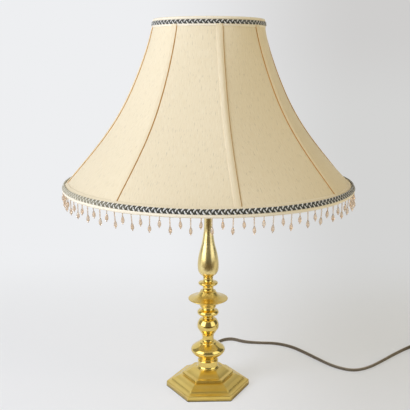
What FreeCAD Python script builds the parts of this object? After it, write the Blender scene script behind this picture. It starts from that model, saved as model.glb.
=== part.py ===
import FreeCAD, Part
import math
import os

# Candle lamp with a bell shaped fabric shade. Millimetres, +Z up.
# The origin is on the table, under the middle of the hexagonal foot.
# A flat side of the foot faces the front, -Y, and the cord leaves at the back.

os.makedirs("parts", exist_ok=True)
V = FreeCAD.Vector
UP = V(0, 0, 1)

# Foot: stepped hexagon, measured from its middle to a corner
foot_corner_radius = 62.6
foot_height = 29.4
felt_thickness = 1.2
felt_inset = 0.5
washer_radius = 14.0
washer_thickness = 1.6
nut_half_width = 8.5
nut_thickness = 4.0

# Stem: turned brass sections threaded on a tube, from the foot upwards
collar_radius = 17.6
collar_height = 12.2
knop_radius = 25.4
knop_height = 29.2
baluster_radius = 16.0
baluster_height = 35.5
ring_spool_radius = 15.9
ring_spool_height = 17.0
drip_pan_radius = 29.2
drip_pan_height = 28.0
upper_spool_radius = 14.4
upper_spool_height = 18.0
vase_radius = 15.4
vase_height = 179.5
stem_tube_radius = 5.0
stem_tube_wall = 1.0
stem_tube_below_nut = 2.5
stem_tube_above_stem = 8.0
tube_hole_clearance = 0.2
seat_clearance = 0.05

# Lampholder, with the widest radius of its cap, its skirt and its shade shoulder
holder_cap_radius = 20.6
holder_cap_height = 24.0
holder_wall = 0.9
holder_skirt_height = 30.0
holder_skirt_wall = 2.2
thread_root_radius = 19.4
thread_crest_radius = 20.0
thread_ridges = 6
shoulder_radius = 24.4
shoulder_thickness = 2.0
shoulder_height = 10.0
insert_height = 20.0
insert_foot_gap = 11.0
lock_nut_thickness = 1.8
switch_bar_radius = 2.2
switch_height = 16.0
switch_rest_out = 8.0
switch_travel = 5.0
switch_in_out = 3.0
switch_round_share = 0.33
shade_ring_radius = 29.0
shade_ring_height = 6.0
shade_ring_round_share = 0.25
moving_gap = 0.3

# Bulb and the socket that it screws into
bulb_thread_root = 12.3
bulb_thread_crest = 13.2
bulb_thread_pitch = 3.6
bulb_cap_ridges = 4
socket_ridges = 3
socket_height = 20.0
socket_wall = 0.5
contact_radius = 4.0
contact_height = 2.3
contact_chamfer_share = 0.33
tip_radius = 3.0
tip_height = 0.8
glass_insulator_radius = 8.0
glass_insulator_height = 1.6
bulb_cap_height = 23.0
bulb_radius = 30.0
bulb_height = 80.0
bulb_glass_wall = 0.8
filament_mount_radius = 6.0
filament_mount_height = 34.0
filament_radius = 0.4
filament_span = 9.0
filament_rise = 12.0

# Shade: wire frame, eight fabric panels, lining and bindings
bottom_ring_radius = 201.6
bottom_ring_height = 307.3
top_ring_radius = 74.0
top_ring_height = 534.0
ring_wire_radius = 1.8
binding_radius = 2.6
binding_gap = 0.4
binding_from_degrees = 30.0
binding_to_degrees = -180.0
binding_facets = 14
rib_wire_radius = 1.2
panel_count = 8
cloth_thickness = 1.0
cloth_out_from_ring = 1.5
cloth_off_ring = 1.9
cloth_gap = 0.25
cloth_level_count = 16
lining_thickness = 0.5
fold_width = 9.0
fold_thickness = 0.6
fold_lift = 0.1
seam_turn_degrees = 7.4
fitter_clearance = 0.4
fitter_ring_outer = 31.0
fitter_ring_thickness = 1.8
fitter_arm_radius = 1.5
fitter_arm_count = 4
braid_width = 5.3
braid_thickness = 1.6
braid_shoulder_share = 0.4
bottom_braid_above_ring = 4.2
top_braid_below_ring = 4.0

# Beaded fringe: every second strand is long
strand_count = 104
strand_out_from_ring = 2.0
strand_turn_degrees = -91.4
seed_radius = 0.9
seed_pitch = 1.75
seed_join_radius = 0.35
seed_shoulder_share = 0.28
long_seed_count = 6
short_seed_count = 2
drop_radius = 2.0
drop_length = 8.6
end_bead_radius = 0.85

# Mains cord, its bush in the back of the foot, its put-away coil and its plug
cord_radius = 2.5
bush_axis_height = 4.9
bush_sleeve_radius = 3.15
bush_clearance = 0.1
bush_flange_radius = 3.6
bush_flange_length = 2.5
bush_flange_reach = 46.5
bush_cone_radius = 4.2
bush_tip_radius = 3.1
bush_length = 22.0
bush_pocket_length = 6.0
inner_bend_radius = 14.0
core_radius = 0.9
core_bend_radius = 2.0
terminal_place = 8.5
terminal_head_radius = 2.4
terminal_head_height = 2.0
terminal_shank_radius = 1.4
terminal_depth = 5.0
coil_centre_x = 401.0
coil_centre_y = 110.0
coil_mean_radius = 30.0
coil_pitch = 5.8
coil_turns = 6.35
coil_arcs_per_turn = 4
coil_turn_step = 0.002
coil_start_degrees = 125.0
coil_lift = 0.8
lead_in_share = 0.5
arc_share_of_run = 0.45
gap_points_per_arc = 8
tie_thickness = 0.7
tie_width = 8.0
tie_slack = 0.5
tie_turn_degrees = 250.0
tail_run = 16.0
plug_length = 34.0
plug_width = 35.0
plug_thickness = 13.7
plug_corner_share = 0.6
plug_boot_length = 13.0
plug_boot_radius = 4.6
plug_boot_tip_radius = 3.2
pin_radius = 2.0
pin_length = 19.0
pin_spacing = 18.6
pin_tip_chamfer = 0.8

# Two directions nearer than this count as one
straight_side = 1e-7
parallel_spread = 1e-9

# The cord's route on the table, from the bush to the coil
cord_route = [
    V(0.0, 94.0, 4.9),
    V(3.0, 115.0, 3.0),
    V(13.0, 137.5, 2.5),
    V(27.5, 163.0, 2.5),
    V(49.0, 173.0, 2.5),
    V(70.0, 156.0, 2.5),
    V(97.0, 150.0, 2.5),
    V(124.0, 146.5, 2.5),
    V(148.0, 130.0, 2.5),
    V(166.5, 104.0, 2.5),
    V(185.0, 74.0, 2.5),
    V(204.0, 46.0, 2.5),
    V(230.0, 30.0, 2.5),
    V(257.0, 42.0, 2.5),
    V(285.0, 66.5, 2.5),
    V(312.0, 92.5, 2.5),
    V(339.0, 115.5, 2.5),
]

# Outlines as shares of the widest radius and of the height, from the bottom up.
# Each row is one straight line or one smooth curve.
foot_below_cove_shares = [
    (1.0, 0.0),
    (0.994, 0.226),
    (0.978, 0.252),
]
foot_above_cove_shares = [
    (0.87, 0.344),
    (0.863, 0.372),
    (0.853, 0.38),
    (0.772, 0.462),
    (0.765, 0.474),
    (0.677, 0.567),
    (0.66, 0.575),
    (0.602, 0.585),
    (0.6, 0.64),
    (0.617, 0.66),
    (0.613, 0.706),
    (0.601, 0.722),
    (0.526, 0.726),
    (0.356, 1.0),
]
foot_cove_steps = 5
foot_hollow_shares = [
    (0.911, 0.0),
    (0.904, 0.166),
    (0.799, 0.261),
    (0.535, 0.49),
    (0.471, 0.618),
    (0.304, 0.866),
]
collar_shares = [
    [(1.0, 0.0), (1.0, 0.05)],
    [(1.0, 0.05), (0.9, 0.18), (0.865, 0.4)],
    [(0.865, 0.4), (0.865, 0.94)],
    [(0.865, 0.94), (0.83, 1.0)],
]
knop_shares = [
    [(0.565, 0.0), (0.55, 0.04), (0.57, 0.1)],
    [(0.57, 0.1), (0.79, 0.29), (0.94, 0.412), (1.0, 0.5415), (0.952, 0.6572),
     (0.823, 0.7572), (0.665, 0.8492), (0.52, 0.93)],
    [(0.52, 0.93), (0.5, 0.9605)],
    [(0.5, 0.9605), (0.38, 1.0)],
]
baluster_shares = [
    [(0.58, 0.0), (0.535, 0.08), (0.525, 0.17), (0.55, 0.25), (0.62, 0.335), (0.74, 0.4)],
    [(0.74, 0.4), (0.77, 0.432)],
    [(0.77, 0.432), (0.83, 0.475), (0.944, 0.552), (1.0, 0.69), (0.931, 0.842),
     (0.769, 0.963)],
    [(0.769, 0.963), (0.55, 1.0)],
]
ring_spool_shares = [
    [(0.515, 0.0), (0.5, 0.1), (0.54, 0.22)],
    [(0.54, 0.22), (0.79, 0.34)],
    [(0.79, 0.34), (0.97, 0.45), (1.0, 0.55), (0.98, 0.64)],
    [(0.98, 0.64), (0.9, 0.745)],
    [(0.9, 0.745), (0.75, 0.79), (0.62, 0.86), (0.585, 1.0)],
]
drip_pan_shares = [
    [(0.329, 0.0), (0.394, 0.036), (0.408, 0.082)],
    [(0.408, 0.082), (0.408, 0.121)],
    [(0.408, 0.121), (0.387, 0.136)],
    [(0.387, 0.136), (0.479, 0.193), (0.651, 0.286), (0.856, 0.4), (0.983, 0.464)],
    [(0.983, 0.464), (1.0, 0.491), (0.985, 0.518)],
    [(0.985, 0.518), (0.839, 0.554), (0.685, 0.596), (0.562, 0.664), (0.466, 0.768),
     (0.401, 0.861)],
    [(0.401, 0.861), (0.387, 0.871)],
    [(0.387, 0.871), (0.387, 0.914)],
    [(0.387, 0.914), (0.301, 0.943), (0.277, 1.0)],
]
upper_spool_shares = [
    [(0.555, 0.0), (0.545, 0.2), (0.6, 0.34)],
    [(0.6, 0.34), (0.95, 0.43)],
    [(0.95, 0.43), (1.0, 0.515), (0.95, 0.6)],
    [(0.95, 0.6), (0.56, 0.69)],
    [(0.56, 0.69), (0.5, 0.78), (0.49, 0.9), (0.505, 1.0)],
]
vase_shares = [
    [(0.468, 0.0), (0.571, 0.016), (0.773, 0.031), (0.948, 0.058), (1.0, 0.092),
     (0.93, 0.171), (0.792, 0.227), (0.623, 0.283), (0.513, 0.339), (0.435, 0.383),
     (0.396, 0.432), (0.39, 0.51)],
    [(0.39, 0.51), (0.39, 1.0)],
]
holder_cap_shares = [
    [(0.41, 0.0), (0.41, 0.17)],
    [(0.41, 0.17), (0.62, 0.25), (0.89, 0.42), (1.0, 0.67)],
    [(1.0, 0.67), (1.0, 1.0)],
]
bulb_shares = [
    [(0.427, 0.0), (0.45, 0.08), (0.57, 0.2), (0.8, 0.36), (0.98, 0.54), (0.985, 0.7),
     (0.86, 0.84), (0.56, 0.95), (0.25, 0.99)],
    [(0.25, 0.99), (0.0, 1.0)],
]
filament_mount_shares = [
    [(1.0, 0.0), (0.8, 0.12), (0.4, 0.3), (0.33, 0.7)],
    [(0.33, 0.7), (0.6, 0.86), (0.33, 1.0)],
]
drop_shares = [
    [(0.3, 0.0), (0.8, 0.09), (1.0, 0.28), (0.86, 0.5), (0.5, 0.78), (0.2, 1.0)],
]

# Plug body from the cord's end: shares of its length, width and thickness
plug_outline_shares = [
    (0.0, 0.4, 0.75),
    (0.35, 1.0, 1.0),
    (0.8, 1.0, 1.0),
    (1.0, 0.72, 1.0),
]

# Shade outline between its two rings: share of the rise, share of the spread left,
# and how round the cloth stays between two ribs
shade_outline_shares = [
    (0.0, 1.0, 1.0),
    (0.09, 0.868, 0.7),
    (0.21, 0.69, 0.45),
    (0.35, 0.5, 0.3),
    (0.5, 0.336, 0.25),
    (0.68, 0.187, 0.3),
    (0.86, 0.068, 0.6),
    (1.0, 0.0, 1.0),
]

# Heights and radii that follow from the pieces they sit on
foot_bottom = felt_thickness
collar_bottom = foot_bottom + foot_height
knop_bottom = collar_bottom + collar_height
baluster_bottom = knop_bottom + knop_height
ring_spool_bottom = baluster_bottom + baluster_height
drip_pan_bottom = ring_spool_bottom + ring_spool_height
upper_spool_bottom = drip_pan_bottom + drip_pan_height
vase_bottom = upper_spool_bottom + upper_spool_height
holder_bottom = vase_bottom + vase_height
skirt_bottom = holder_bottom + holder_cap_height
shoulder_bottom = skirt_bottom + shoulder_height
shoulder_top = shoulder_bottom + shoulder_thickness
skirt_top = skirt_bottom + holder_skirt_height
insert_bottom = holder_bottom + insert_foot_gap
insert_top = insert_bottom + insert_height
fitter_bottom = shoulder_top + moving_gap
fitter_top = fitter_bottom + fitter_ring_thickness
shade_ring_bottom = fitter_top + moving_gap
tip_bottom = insert_top + contact_height + moving_gap
insulator_bottom = tip_bottom + tip_height
bulb_cap_bottom = insulator_bottom + glass_insulator_height
bulb_glass_bottom = bulb_cap_bottom + bulb_cap_height
stem_bore = stem_tube_radius + seat_clearance
foot_tube_hole = stem_tube_radius + tube_hole_clearance
fitter_ring_inner = thread_crest_radius + fitter_clearance
bush_hole_radius = bush_sleeve_radius + bush_clearance
cloth_bottom_radius = bottom_ring_radius + cloth_out_from_ring
cloth_top_radius = top_ring_radius + cloth_out_from_ring
cloth_bottom = bottom_ring_height + cloth_off_ring
cloth_top = top_ring_height - cloth_off_ring
bottom_braid_height = bottom_ring_height + bottom_braid_above_ring
top_braid_height = top_ring_height - top_braid_below_ring
strand_radius_place = bottom_ring_radius + strand_out_from_ring
coil_centre = V(coil_centre_x, coil_centre_y, 0)


def save(node, *solids):
    """Write one named piece, or one group of like pieces."""
    shape = solids[0] if len(solids) == 1 else Part.makeCompound(list(solids))
    shape.exportStep(f"parts/{node}.step")


def curve_through(points):
    """A straight edge through two points, or a smooth one through more."""
    if len(points) == 2:
        return Part.LineSegment(points[0], points[1]).toShape()
    curve = Part.BSplineCurve()
    curve.interpolate(points)
    return curve.toShape()


def closed_edges(points):
    """Straight edges from point to point and back to the first."""
    return [
        Part.LineSegment(a, b).toShape()
        for a, b in zip(points, points[1:] + points[:1])
    ]


def spun(edges):
    """The solid that a closed outline in the XZ plane sweeps about the upright axis."""
    return Part.Face(Part.Wire(edges)).revolve(V(0, 0, 0), UP, 360)


def turned(runs_shares, radius, bottom, height, bore=0.0):
    """A lathe-turned piece on the upright axis, with a straight bore."""
    edges = []
    for run in runs_shares:
        points = [V(radius * r, 0, bottom + height * h) for r, h in run]
        edges.append(curve_through(points))
    first = V(radius * runs_shares[0][0][0], 0, bottom)
    last = V(radius * runs_shares[-1][-1][0], 0, bottom + height)
    inner = [V(bore, 0, bottom + height), V(bore, 0, bottom)]
    if last.x > bore:
        edges.append(curve_through([last, inner[0]]))
    edges.append(curve_through(inner))
    edges.append(curve_through([inner[1], first]))
    return spun(edges)


def ring_block(inner, outer, bottom, height):
    """A plain ring or, with no inner radius, a disc."""
    corners = [
        V(inner, 0, bottom),
        V(outer, 0, bottom),
        V(outer, 0, bottom + height),
        V(inner, 0, bottom + height),
    ]
    return spun(closed_edges(corners))


def hexagon(corner_radius, height):
    """A level hexagon with corners on the X axis."""
    corners = []
    for corner in range(7):
        angle = math.radians(60 * corner)
        corners.append(V(corner_radius * math.cos(angle), corner_radius * math.sin(angle), height))
    return Part.makePolygon(corners)


def stacked_hexagons(outline_shares):
    """A stepped hexagonal block from shares of the foot's radius and height."""
    rings = [
        hexagon(foot_corner_radius * r, foot_bottom + foot_height * h)
        for r, h in outline_shares
    ]
    return Part.makeLoft(rings, True, True)


def hexagon_nut(half_width, bottom, thickness, hole):
    """A six-sided nut with its bore."""
    corner_radius = half_width / math.cos(math.radians(30))
    block = Part.Face(hexagon(corner_radius, bottom)).extrude(UP * thickness)
    return block.cut(Part.makeCylinder(hole, thickness, V(0, 0, bottom)))


def ridges(root, crest, bottom, pitch, count):
    """Outline points of plain ring ridges, from the bottom up."""
    points = []
    for ridge in range(count):
        start = bottom + pitch * ridge
        points.append(V(root, 0, start))
        points.append(V(crest, 0, start + pitch / 2))
    points.append(V(root, 0, bottom + pitch * count))
    return points


def torus(ring_radius, wire_radius, height):
    """A closed round wire ring."""
    return Part.makeTorus(ring_radius, wire_radius, V(0, 0, height), UP)


def tube_along(edges, radius):
    """A round tube along joined edges, its first end square to the path."""
    start = edges[0].valueAt(edges[0].FirstParameter)
    heading = edges[0].tangentAt(edges[0].FirstParameter)
    section = Part.Wire([Part.makeCircle(radius, start, heading)])
    return Part.Wire(edges).makePipeShell([section], True, False)


def arc_from(start, heading, end):
    """The arc that leaves start along heading and ends at end."""
    chord = end - start
    along = V(chord).normalize()
    side = heading - along * heading.dot(along)
    if side.Length < straight_side:
        return Part.LineSegment(start, end).toShape()
    side.normalize()
    turn = math.acos(max(-1.0, min(1.0, heading.dot(along))))
    middle = start + chord * 0.5 + side * (chord.Length / 2 * math.tan(turn / 2))
    return Part.Arc(start, middle, end).toShape()


def biarc(start, heading, end, end_heading):
    """Two arcs that join two points and keep the heading at both."""
    chord = end - start
    both = heading + end_heading
    spread = 2 * (1 - heading.dot(end_heading))
    if spread < parallel_spread:
        reach = chord.dot(chord) / (2 * chord.dot(both))
    else:
        root = math.sqrt(chord.dot(both) ** 2 + spread * chord.dot(chord))
        reach = (root - chord.dot(both)) / spread
    joint = (start + heading * reach + end - end_heading * reach) * 0.5
    first = arc_from(start, heading, joint)
    second = arc_from(end, end_heading * -1, joint)
    ends = [second.valueAt(second.LastParameter), second.valueAt(second.FirstParameter)]
    middle = second.valueAt((second.FirstParameter + second.LastParameter) / 2)
    return [first, Part.Arc(ends[0], middle, ends[1]).toShape()]


def rounded_route(points, name):
    """Straight runs joined by tangent arcs, each as large as its two runs allow."""
    edges = []
    radii = []
    place = points[0]
    for before, corner, after in zip(points, points[1:], points[2:]):
        arriving = V(corner - before).normalize()
        leaving = V(after - corner).normalize()
        shorter = min((corner - before).Length, (after - corner).Length)
        half_turn = math.acos(max(-1.0, min(1.0, arriving.dot(leaving)))) / 2
        setback = arc_share_of_run * shorter
        arc_start = corner - arriving * setback
        arc_end = corner + leaving * setback
        edges.append(Part.LineSegment(place, arc_start).toShape())
        edges.append(arc_from(arc_start, arriving, arc_end))
        radii.append(setback / math.tan(half_turn))
        place = arc_end
    edges.append(Part.LineSegment(place, points[-1]).toShape())
    print(name, "arc radii in mm:", [round(r, 1) for r in radii])
    return edges


def make_foot():
    """The hollow stepped foot, its felt, and the nut and washer that hold the stem."""
    low = foot_below_cove_shares[-1]
    high = foot_above_cove_shares[0]
    cove_shares = []
    for step in range(1, foot_cove_steps):
        angle = math.radians(90 * step / foot_cove_steps)
        radius_share = low[0] + (high[0] - low[0]) * math.sin(angle)
        height_share = low[1] + (high[1] - low[1]) * (1 - math.cos(angle))
        cove_shares.append((radius_share, height_share))
    foot = stacked_hexagons(foot_below_cove_shares + cove_shares + foot_above_cove_shares)
    foot = foot.cut(stacked_hexagons(foot_hollow_shares))
    foot = foot.cut(Part.makeCylinder(foot_tube_hole, collar_bottom))
    bush_start = V(0, bush_flange_reach, bush_axis_height)
    wall_reach = foot_corner_radius - bush_flange_reach
    foot = foot.cut(Part.makeCylinder(bush_hole_radius, wall_reach, bush_start, V(0, 1, 0)))
    pocket_start = bush_start - V(0, bush_pocket_length, 0)
    pocket_length = bush_pocket_length + bush_flange_length + moving_gap
    pocket_radius = bush_flange_radius + moving_gap
    foot = foot.cut(Part.makeCylinder(pocket_radius, pocket_length, pocket_start, V(0, 1, 0)))
    save("base_foot", foot)

    felt = Part.Face(hexagon(foot_corner_radius - felt_inset, 0)).extrude(UP * felt_thickness)
    save("felt_pad", felt)

    plate_under = foot_bottom + foot_height * foot_hollow_shares[-1][1]
    washer_bottom = plate_under - washer_thickness
    nut_bottom = washer_bottom - nut_thickness
    save("base_washer", ring_block(stem_bore, washer_radius, washer_bottom, washer_thickness))
    save("base_nut", hexagon_nut(nut_half_width, nut_bottom, nut_thickness, stem_bore))
    tube_bottom = nut_bottom - stem_tube_below_nut
    tube_height = holder_bottom + stem_tube_above_stem - tube_bottom
    tube_bore = stem_tube_radius - stem_tube_wall
    save("threaded_tube", ring_block(tube_bore, stem_tube_radius, tube_bottom, tube_height))


def make_stem():
    """The turned sections, each seated on the one below."""
    sections = [
        ("base_collar", collar_shares, collar_radius, collar_bottom, collar_height),
        ("lower_knop", knop_shares, knop_radius, knop_bottom, knop_height),
        ("baluster", baluster_shares, baluster_radius, baluster_bottom, baluster_height),
        ("ring_spool", ring_spool_shares, ring_spool_radius, ring_spool_bottom, ring_spool_height),
        ("drip_pan", drip_pan_shares, drip_pan_radius, drip_pan_bottom, drip_pan_height),
        ("upper_spool", upper_spool_shares, upper_spool_radius, upper_spool_bottom,
         upper_spool_height),
        ("vase_stem", vase_shares, vase_radius, vase_bottom, vase_height),
    ]
    for node, shares, radius, bottom, height in sections:
        save(node, turned(shares, radius, bottom, height, stem_bore))


def make_holder():
    """The lampholder: cap, insert, switch bar, skirt, socket and its contacts."""
    cap = turned(holder_cap_shares, holder_cap_radius, holder_bottom, holder_cap_height)
    hollow_radius = holder_cap_radius - holder_wall
    cap = cap.cut(turned(holder_cap_shares, hollow_radius, holder_bottom + holder_wall,
                         holder_cap_height))
    cap = cap.cut(Part.makeCylinder(stem_bore, holder_cap_height, V(0, 0, holder_bottom)))
    switch_z = holder_bottom + switch_height
    crosswise = holder_cap_radius + switch_rest_out
    bar_hole = Part.makeCylinder(switch_bar_radius + moving_gap, crosswise + crosswise,
                                 V(-crosswise, 0, switch_z), V(1, 0, 0))
    save("holder_cap", cap.cut(bar_hole))

    nut_radius = holder_cap_radius * holder_cap_shares[0][0][0] - holder_wall - moving_gap
    nut_half = nut_radius * math.cos(math.radians(30))
    nut_bottom = holder_bottom + holder_wall
    save("holder_lock_nut", hexagon_nut(nut_half, nut_bottom, lock_nut_thickness, stem_bore))

    skirt_bore = thread_root_radius - holder_skirt_wall
    insert = ring_block(0, skirt_bore - moving_gap, insert_bottom, insert_height).cut(bar_hole)
    screws = []
    for side in (-1, 1):
        place = V(0, side * terminal_place, insert_bottom - terminal_head_height)
        head = Part.makeCylinder(terminal_head_radius, terminal_head_height, place)
        shank_place = V(0, side * terminal_place, insert_bottom)
        shank = Part.makeCylinder(terminal_shank_radius, terminal_depth, shank_place)
        insert = insert.cut(shank)
        screws.append(head.fuse(shank).removeSplitter())
    save("holder_insert", insert)
    save("terminal_screws", *screws)

    bar_end = holder_cap_radius + switch_in_out
    bar = Part.makeCylinder(switch_bar_radius, crosswise + bar_end,
                            V(-bar_end, 0, switch_z), V(1, 0, 0))
    round_end = switch_bar_radius * switch_round_share
    bar = bar.makeFillet(round_end, [edge for edge in bar.Edges if edge.Closed])
    save("switch_bar", bar)

    pitch = (skirt_top - shoulder_top) / thread_ridges
    outside = [
        V(holder_cap_radius, 0, skirt_bottom),
        V(holder_cap_radius, 0, skirt_bottom + holder_skirt_wall),
        V(thread_root_radius, 0, skirt_bottom + holder_skirt_wall),
        V(thread_root_radius, 0, shoulder_bottom),
        V(shoulder_radius, 0, shoulder_bottom),
        V(shoulder_radius, 0, shoulder_top),
    ]
    outside += ridges(thread_root_radius, thread_crest_radius, shoulder_top, pitch, thread_ridges)
    outside += [V(skirt_bore, 0, skirt_top), V(skirt_bore, 0, skirt_bottom)]
    save("holder_skirt", spun(closed_edges(outside)))

    ring = ring_block(thread_crest_radius + moving_gap, shade_ring_radius,
                      shade_ring_bottom, shade_ring_height)
    rim = [edge for edge in ring.Edges if edge.Closed and edge.Curve.Radius == shade_ring_radius]
    save("shade_ring", ring.makeFillet(shade_ring_height * shade_ring_round_share, rim))

    thread_bottom = bulb_cap_bottom + bulb_thread_pitch / 2
    inner = ridges(bulb_thread_root + moving_gap, bulb_thread_crest + moving_gap,
                   thread_bottom, bulb_thread_pitch, socket_ridges)
    socket_top = insert_top + socket_height
    flare = V(inner[1].x, 0, inner[-1].z + bulb_thread_pitch / 2)
    inner = [V(inner[0].x, 0, insert_top)] + inner + [flare, V(flare.x, 0, socket_top)]
    outer = [V(point.x + socket_wall, 0, point.z) for point in reversed(inner)]
    save("screw_shell", spun(closed_edges(inner + outer)))
    contact = Part.makeCylinder(contact_radius, contact_height, V(0, 0, insert_top))
    contact_chamfer = contact_height * contact_chamfer_share
    contact = contact.makeChamfer(contact_chamfer, [contact.Edges[0]])
    save("centre_contact", contact)
    return thread_bottom


def make_bulb(thread_bottom):
    """The pearl bulb with its screw cap, tip and filament."""
    tip = Part.makeCylinder(tip_radius, tip_height, V(0, 0, tip_bottom))
    save("bulb_tip", tip)
    insulator = Part.makeCone(tip_radius, glass_insulator_radius, glass_insulator_height,
                              V(0, 0, insulator_bottom))
    save("bulb_insulator", insulator)

    outline = [V(0, 0, bulb_cap_bottom), V(glass_insulator_radius, 0, bulb_cap_bottom)]
    outline += ridges(bulb_thread_root, bulb_thread_crest, thread_bottom,
                      bulb_thread_pitch, bulb_cap_ridges)
    neck_radius = bulb_radius * bulb_shares[0][0][0]
    outline += [V(neck_radius, 0, bulb_glass_bottom), V(0, 0, bulb_glass_bottom)]
    save("bulb_cap", spun(closed_edges(outline)))

    glass = turned(bulb_shares, bulb_radius, bulb_glass_bottom, bulb_height)
    inside = turned(bulb_shares, bulb_radius - bulb_glass_wall, bulb_glass_bottom,
                    bulb_height - bulb_glass_wall)
    save("bulb_glass", glass.cut(inside))
    save("filament_mount", turned(filament_mount_shares, filament_mount_radius,
                                  bulb_glass_bottom, filament_mount_height))
    wire_bottom = bulb_glass_bottom + filament_mount_height + filament_radius
    foot_reach = filament_mount_radius * filament_mount_shares[-1][-1][0] - filament_radius
    wire_top = wire_bottom + filament_rise
    loop = rounded_route([
        V(-foot_reach, 0, wire_bottom),
        V(-filament_span, 0, wire_top),
        V(filament_span, 0, wire_top),
        V(foot_reach, 0, wire_bottom),
    ], "filament")
    save("filament", tube_along(loop, filament_radius))


def cloth_curve():
    """The cloth's outline at a rib, against the share of the rise.

    X is the radius and Z the height. Y holds how round the cloth is between two ribs.
    """
    rise = cloth_top - cloth_bottom
    spread = cloth_bottom_radius - cloth_top_radius
    points = [
        V(cloth_top_radius + spread * out, roundness, cloth_bottom + rise * up)
        for up, out, roundness in shade_outline_shares
    ]
    curve = Part.BSplineCurve()
    curve.interpolate(Points=points, Parameters=[up for up, _, _ in shade_outline_shares])
    return curve


def cloth_level(curve, share):
    """Radius, roundness and height there, and how much wider than thick a slanted wall is."""
    spot, slope = curve.getD1(share)
    return spot.x, spot.y, spot.z, math.hypot(slope.x, slope.z) / slope.z


def rib_angle(index):
    """The turn about the upright axis of one rib, the first nearest to the front."""
    return math.radians(-90 + seam_turn_degrees + 360 / panel_count * index)


def cloth_arc(level, inward):
    """The middle and radius of one panel's level arc, some way inside the cloth's face."""
    radius, roundness, _, widening = level
    half = math.pi / panel_count
    chord = radius * math.sin(half)
    sagitta = radius * (1 - math.cos(half)) * roundness
    arc_radius = (chord * chord + sagitta * sagitta) / (sagitta + sagitta)
    return radius * math.cos(half) + sagitta - arc_radius, arc_radius - inward * widening


def cloth_point(level, index, side, inward, from_seam):
    """A point on a panel's arc beside its first rib (-1), its second (1) or midway (0)."""
    middle, arc_radius = cloth_arc(level, inward)
    half = math.pi / panel_count
    swing = side * (half + math.asin((middle * math.sin(half) - from_seam) / arc_radius))
    out = middle + arc_radius * math.cos(swing)
    along = arc_radius * math.sin(swing)
    facing = rib_angle(index) + half
    return V(
        out * math.cos(facing) - along * math.sin(facing),
        out * math.sin(facing) + along * math.cos(facing),
        level[2],
    )


def panel_section(level, index, inward, thickness):
    """The closed outline of one panel's cloth at one level."""
    sides = (-1, 0, 1)
    outer = [cloth_point(level, index, side, inward, cloth_gap) for side in sides]
    inner = [cloth_point(level, index, side, inward + thickness, cloth_gap) for side in sides]
    return Part.Wire([
        Part.Arc(*outer).toShape(),
        Part.LineSegment(outer[2], inner[2]).toShape(),
        Part.Arc(*reversed(inner)).toShape(),
        Part.LineSegment(inner[0], outer[0]).toShape(),
    ])


def fold_section(level, index):
    """The closed outline of one seam's folded band at one level, over its rib."""
    half = fold_width / 2
    spots = [(index - 1, 1, half), (index, -1, 0), (index, -1, half)]
    outer = [cloth_point(level, k, side, -fold_lift - fold_thickness, away)
             for k, side, away in spots]
    inner = [cloth_point(level, k, side, -fold_lift, away) for k, side, away in reversed(spots)]
    return Part.Wire(closed_edges(outer + inner))


def rib_path(curve, shares):
    """Arcs along the inside of the cloth at a rib, and a straight run on to the top ring."""
    inset = cloth_thickness + rib_wire_radius + cloth_gap
    places = []
    headings = []
    for share in shares:
        spot, slope = curve.getD1(share)
        heading = V(slope.x, 0, slope.z).normalize()
        places.append(V(spot.x, 0, spot.z) - V(heading.z, 0, -heading.x) * inset)
        headings.append(heading)
    edges = []
    for k in range(len(shares) - 1):
        edges += biarc(places[k], headings[k], places[k + 1], headings[k + 1])
    edges.append(curve_through([places[-1], places[-1] + headings[-1] * rib_wire_radius]))
    return edges


def make_shade():
    """The wire frame, the cloth on it, and the fitter that carries them."""
    curve = cloth_curve()
    shares = [step / cloth_level_count for step in range(cloth_level_count + 1)]
    levels = [cloth_level(curve, share) for share in shares]
    bottom_ring = torus(bottom_ring_radius, ring_wire_radius, bottom_ring_height)
    top_ring = torus(top_ring_radius, ring_wire_radius, top_ring_height)
    save("bottom_ring_wire", bottom_ring)
    save("top_ring_wire", top_ring)
    rib = tube_along(rib_path(curve, shares[::2]), rib_wire_radius).cut([bottom_ring, top_ring])
    ribs = [
        rib.rotated(V(0, 0, 0), UP, math.degrees(rib_angle(index)))
        for index in range(panel_count)
    ]
    save("shade_ribs", *ribs)

    fitter = ring_block(fitter_ring_inner, fitter_ring_outer, fitter_bottom, fitter_ring_thickness)
    save("fitter_ring", fitter)
    arm_height = fitter_bottom + fitter_ring_thickness / 2
    arm_share = (arm_height - cloth_bottom) / (cloth_top - cloth_bottom)
    radius, _, _, widening = cloth_level(curve, arm_share)
    arm_reach = radius - (cloth_thickness + rib_wire_radius + cloth_gap) * widening
    arms = []
    arm_holes = []
    for index in range(fitter_arm_count):
        turn = math.degrees(rib_angle(index * panel_count // fitter_arm_count))
        start = V(fitter_ring_outer - fitter_arm_radius, 0, arm_height)
        arm = Part.makeCylinder(fitter_arm_radius, arm_reach - start.x, start, V(1, 0, 0))
        arms.append(arm.rotated(V(0, 0, 0), UP, turn).cut([fitter] + ribs))
        hole_radius = fitter_arm_radius + moving_gap
        hole = Part.makeCylinder(hole_radius, arm_reach, V(0, 0, arm_height), V(1, 0, 0))
        arm_holes.append(hole.rotated(V(0, 0, 0), UP, turn))
    save("fitter_arms", *arms)

    lining_inset = cloth_thickness + rib_wire_radius * 2 + cloth_gap * 2
    linings = []
    folds = []
    for index in range(panel_count):
        sections = [panel_section(level, index, 0, cloth_thickness) for level in levels]
        save(f"shade_panel_{index + 1}", Part.makeLoft(sections, True, False))
        sections = [
            panel_section(level, index, lining_inset, lining_thickness) for level in levels
        ]
        linings.append(Part.makeLoft(sections, True, False).cut(arm_holes))
        sections = [fold_section(level, index) for level in levels]
        folds.append(Part.makeLoft(sections, True, False))
    save("shade_lining", *linings)
    save("seam_folds", *folds)
    make_bindings(curve)


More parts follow.
